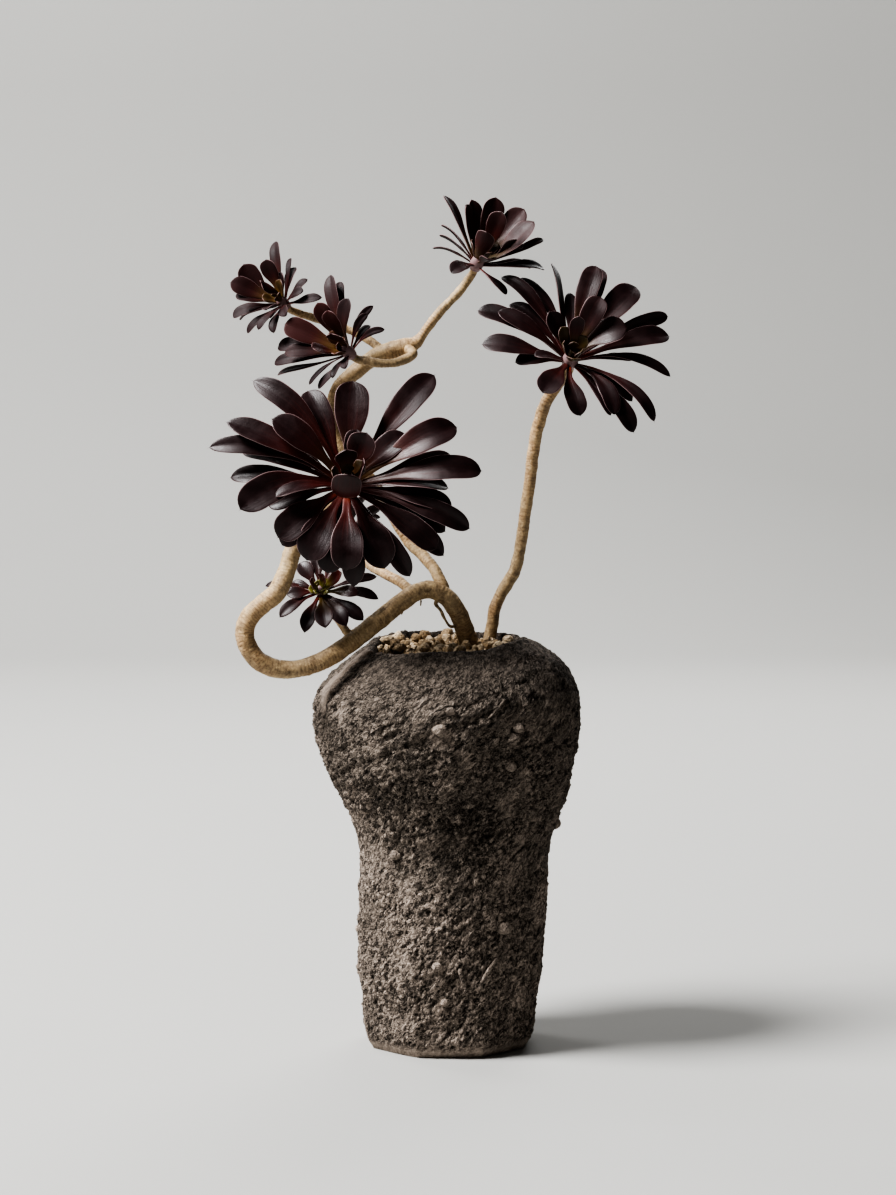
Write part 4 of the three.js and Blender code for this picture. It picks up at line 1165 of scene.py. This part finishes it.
def add_leaf(bm, leaves, rosette, tip, width, roll, sweep, bow_share, youth, number):
    """A fleshy blade from the core to its tip, arched, cupped and turned about its midline."""
    heart = Vector(rosette["heart"])
    out = Vector(rosette["axis"]).normalized()
    core = rosette["core"]
    reach = tip - heart
    lift = math.asin(min(max(reach.dot(out) / reach.length, -1.0), 1.0))
    lying = 1.0 - smooth(0.15, 1.2, lift)
    radial = (reach - out * reach.dot(out)).normalized()
    root = heart + out * mix(core[2] * 0.5, -core[1] * 0.55, lying) + radial * core[0] * 0.3
    chord = tip - root

    def face(along):
        return (out * along.dot(radial) - radial * along.dot(out)).normalized()

    bow = chord.length * (mix(-0.1, 0.09, lying) if bow_share is None else bow_share)
    aside = chord.cross(face(chord)).normalized()
    middle = root + chord * 0.5 + face(chord) * 2 * bow + aside * 2 * sweep
    thick = leaves.thickness / MM
    wave = 6.3 * chance(number + 0.35)
    blunt = rosette.get("blunt", mix(0.3, 1.0, chance(number + 0.15)))
    curl = mix(0.01, 0.07, chance(number + 0.25)) * chord.length
    stations = []
    for k in range(LEAF_ROWS + 1):
        share = 1.0 - (1.0 - k / LEAF_ROWS) ** 1.45
        at = root * (1 - share) ** 2 + middle * 2 * share * (1 - share) + tip * share**2
        at += face(chord) * curl * math.sin(math.pi * share**2.5)
        along = ((middle - root) * (1 - share) + (tip - middle) * share).normalized()
        up = Matrix.Rotation(math.radians(roll) * smooth(0.1, 0.7, share), 3, along) @ face(along)
        half = width * leaves.breadth * blade_width(share, blunt, youth) / 2
        swell = thick * (0.75 + 0.25 * (1 - share)) / 2 * min(1.0, half / thick * 1.3)
        stations.append((share, at, up, along.cross(up).normalized(), half, swell))

    def place(u, v):
        share, at, up, side, half, swell = stations[round(v * LEAF_ROWS)]
        if share in (0.0, 1.0):
            return at
        turn = 2 * math.pi * (u % 1.0)
        across, over = math.cos(turn), math.sin(turn)
        rise = 2 * half * leaves.cup * (0.7 + 0.6 * share) * abs(across) ** 1.6
        ripple = 0.05 * half * math.sin(7.0 * share + wave) * across**3
        over *= swell
        if over > 0:
            over -= 0.4 * swell * math.exp(-((across / 0.3) ** 2)) * smooth(0.1, 0.4, share)
        return at + side * half * across + up * (rise + ripple + over)

    youth_layer = bm.verts.layers.float["youth"]
    tint_layer = bm.verts.layers.float["tint"]
    for vert in wrap_grid(bm, 24, LEAF_ROWS, place):
        vert[youth_layer] = youth
        vert[tint_layer] = chance(number + 0.5)


def add_core(bm, rosette):
    """The stem's tip: a short blunt cone that every leaf is rooted in."""
    heart = Vector(rosette["heart"])
    out = Vector(rosette["axis"]).normalized()
    radius, behind, ahead = rosette["core"]
    rows = [(0, -behind), (0.75, -behind), (1, -behind * 0.4), (0.8, ahead * 0.4), (0.35, ahead), (0, ahead)]
    spin_line(bm, [(radius * r, h) for r, h in rows], 20)
    bmesh.ops.remove_doubles(bm, verts=bm.verts[:], dist=1e-5)
    turn = out.to_track_quat("Z", "Y").to_matrix().to_4x4()
    bmesh.ops.transform(bm, matrix=Matrix.Translation(heart) @ turn, verts=bm.verts[:])


def make_rosette(name, leaves):
    rosette = ROSETTES[name]
    heart = Vector(rosette["heart"])
    out = Vector(rosette["axis"]).normalized()
    right = Vector((0, 0, 1)).cross(out).normalized()
    up = out.cross(right)
    bm = bmesh.new()
    for layer in ("youth", "tint"):
        bm.verts.layers.float.new(layer)
    add_core(bm, rosette)

    def spread(turn, lift, reach, width, roll, youth, number):
        flat = right * math.cos(turn) + up * math.sin(turn)
        tip = heart + (flat * math.cos(lift) + out * math.sin(lift)) * reach
        add_leaf(bm, leaves, rosette, tip, width, roll, 0, None, youth, number)

    ring = rosette.get("ring", {"count": 0})
    for i in range(ring["count"]):
        lift = math.radians(ring["lift"] * (2 * chance(i + 40) - 0.4))
        reach = ring["reach"] * (0.85 + 0.25 * chance(i + 60))
        spread(i * GOLDEN_ANGLE, lift, reach, ring["width"], 20 * chance(i) - 10, 0.2, i)
    for number, row in enumerate(rosette["leaves"]):
        across, over, rise, width, roll, sweep, bow = (*row, *(0, 0, None)[len(row) - 4 :])
        tip = tip_of(heart, out, across, over, rise)
        youth = min(max(rise / rosette.get("rise", 34.0), 0.0), 1.0)
        add_leaf(bm, leaves, rosette, tip, width, roll, sweep, bow, youth, number)
    bud = rosette["bud"]
    for i in range(bud["count"]):
        young = i / bud["count"]
        lift = math.radians(mix(*bud.get("lift", (46, 80)), young))
        turn = bud["phase"] + i * GOLDEN_ANGLE
        reach = bud["reach"] * (1 - 0.62 * young)
        spread(turn, lift, reach, bud["width"] * (1 - 0.45 * young), 0, 1.1, i + 70)
    to_metres(bm)
    skin = leaf_skin(leaves, f"leaf_skin_{name}", *LEAF_TINTS[name])
    finish_piece(f"leaves_{name}", bm, [skin], name)


# ---------------------------------------------------------------- stage
def add_light(name, place, target, size, power):
    """A round soft light that points at its target."""
    light = bpy.data.lights.new(name, "AREA")
    light.shape = "DISK"
    light.size = size
    light.energy = power
    lamp = bpy.data.objects.new(name, light)
    lamp.location = place
    lamp.rotation_euler = (Vector(target) - Vector(place)).to_track_quat("-Z", "Y").to_euler()
    bpy.context.scene.collection.objects.link(lamp)


# The paper in metres: where it starts in front, where it bends up, how round, and how high it ends.
PAPER_START = -7.0
BEND_AT = 2.2
BEND_RADIUS = 0.8
PAPER_HEIGHT = 4.5


def make_backdrop(settings):
    """A sheet of paper that lies on the floor and curves up behind."""
    bm = bmesh.new()
    rows = [(PAPER_START, 0.0)]
    for k in range(17):
        turn = math.pi / 32 * k
        rows.append((BEND_AT + BEND_RADIUS * math.sin(turn), BEND_RADIUS * (1 - math.cos(turn))))
    rows.append((BEND_AT + BEND_RADIUS, PAPER_HEIGHT))
    line = [bm.verts.new((-settings.width / 2, y, z)) for y, z in rows]
    edges = [bm.edges.new(pair) for pair in zip(line, line[1:])]
    wide = bmesh.ops.extrude_edge_only(bm, edges=edges)["geom"]
    far = [item for item in wide if isinstance(item, bmesh.types.BMVert)]
    bmesh.ops.translate(bm, vec=(settings.width, 0, 0), verts=far)
    mesh = bpy.data.meshes.new("backdrop")
    bm.to_mesh(mesh)
    bm.free()
    mesh.shade_smooth()
    mesh.materials.append(paper(settings))
    backdrop = bpy.data.objects.new("backdrop", mesh)
    bpy.context.scene.collection.objects.link(backdrop)


# Each light's place, what it points at and its width, in metres.
LIGHTS = {
    "key": ((-1.95, -0.67, 2.82), (0, 0, 0.26), 1.28),
    "wash": ((-1.43, 1.44, 2.35), (0.26, 3.0, 0.66), 1.3),
    "rear": ((0.5, 1.9, 1.5), (0, 0, 0.25), 1.4),
}
CAMERA_PLACE = (0, -1.8, 0.4115)
CAMERA_TILT = math.radians(85.26)
CAMERA_LENS = 93.5


def make_stage(settings):
    """The backdrop, the lights and the camera."""
    make_backdrop(settings)
    for name, (place, target, size) in LIGHTS.items():
        add_light(f"{name}_light", place, target, size, getattr(settings, name))
    world = bpy.data.worlds.new("studio")
    world.use_nodes = True
    world.node_tree.nodes["Background"].inputs["Color"].default_value = (1.0, 0.99, 0.97, 1.0)
    world.node_tree.nodes["Background"].inputs["Strength"].default_value = settings.fill
    bpy.context.scene.world = world
    bpy.context.scene.view_settings.look = "AgX - High Contrast"
    camera = bpy.data.cameras.new("front_camera")
    camera.lens = CAMERA_LENS
    camera.sensor_width = 36.0
    eye = bpy.data.objects.new("front_camera", camera)
    eye.location = CAMERA_PLACE
    eye.rotation_euler = (CAMERA_TILT, 0, 0)
    bpy.context.scene.collection.objects.link(eye)
    bpy.context.scene.camera = eye


# ---------------------------------------------------------------- operators
class AEONIUM_OT_pot(bpy.types.Operator):
    """Make the stoneware pot"""

    bl_idname = "aeonium.pot"
    bl_label = "Stoneware Pot"

    def execute(self, context):
        make_pot(context.scene.aeonium_pot)
        return {"FINISHED"}


class AEONIUM_OT_grit(bpy.types.Operator):
    """Finish the soil and lay the pumice grit on it"""

    bl_idname = "aeonium.grit"
    bl_label = "Soil and Grit"

    def execute(self, context):
        make_soil(context.scene.aeonium_grit)
        make_grit(context.scene.aeonium_grit)
        return {"FINISHED"}


class AEONIUM_OT_stems(bpy.types.Operator):
    """Grow the looping stem with its branches, and the upright stem"""

    bl_idname = "aeonium.stems"
    bl_label = "Stems"

    def execute(self, context):
        make_looping_stem(context.scene.aeonium_stems)
        make_upright_stem(context.scene.aeonium_stems)
        return {"FINISHED"}


class AEONIUM_OT_rosettes(bpy.types.Operator):
    """Grow the seven rosettes of leaves"""

    bl_idname = "aeonium.rosettes"
    bl_label = "Rosettes"

    def execute(self, context):
        for name in ROSETTES:
            make_rosette(name, context.scene.aeonium_leaves)
        return {"FINISHED"}


class AEONIUM_OT_stage(bpy.types.Operator):
    """Set up the pale floor, the backdrop, the soft lights and the camera"""

    bl_idname = "aeonium.stage"
    bl_label = "Stage"

    def execute(self, context):
        make_stage(context.scene.aeonium_stage)
        return {"FINISHED"}


GROUPS = {
    "aeonium_pot": PotSettings,
    "aeonium_grit": GritSettings,
    "aeonium_stems": StemSettings,
    "aeonium_leaves": LeafSettings,
    "aeonium_stage": StageSettings,
}
STEPS = {
    "aeonium_pot": AEONIUM_OT_pot,
    "aeonium_grit": AEONIUM_OT_grit,
    "aeonium_stems": AEONIUM_OT_stems,
    "aeonium_leaves": AEONIUM_OT_rosettes,
    "aeonium_stage": AEONIUM_OT_stage,
}


class AEONIUM_PT_panel(bpy.types.Panel):
    """The steps of the potted aeonium, each with its settings"""

    bl_label = "Potted Aeonium"
    bl_idname = "AEONIUM_PT_panel"
    bl_space_type = "VIEW_3D"
    bl_region_type = "UI"
    bl_category = "Aeonium"

    def draw(self, context):
        for group, step in STEPS.items():
            box = self.layout.box()
            settings = getattr(context.scene, group)
            for key in GROUPS[group].__annotations__:
                box.prop(settings, key)
            box.operator(step.bl_idname)


CLASSES = (*GROUPS.values(), *STEPS.values(), AEONIUM_PT_panel)


def register():
    for cls in CLASSES:
        bpy.utils.register_class(cls)
    for name, group in GROUPS.items():
        setattr(bpy.types.Scene, name, bpy.props.PointerProperty(type=group))


def unregister():
    for name in GROUPS:
        delattr(bpy.types.Scene, name)
    for cls in reversed(CLASSES):
        bpy.utils.unregister_class(cls)


def main():
    register()
    bpy.ops.aeonium.stage()
    bpy.ops.aeonium.pot()
    bpy.ops.aeonium.grit()
    bpy.ops.aeonium.stems()
    bpy.ops.aeonium.rosettes()


if __name__ == "__main__":
    main()
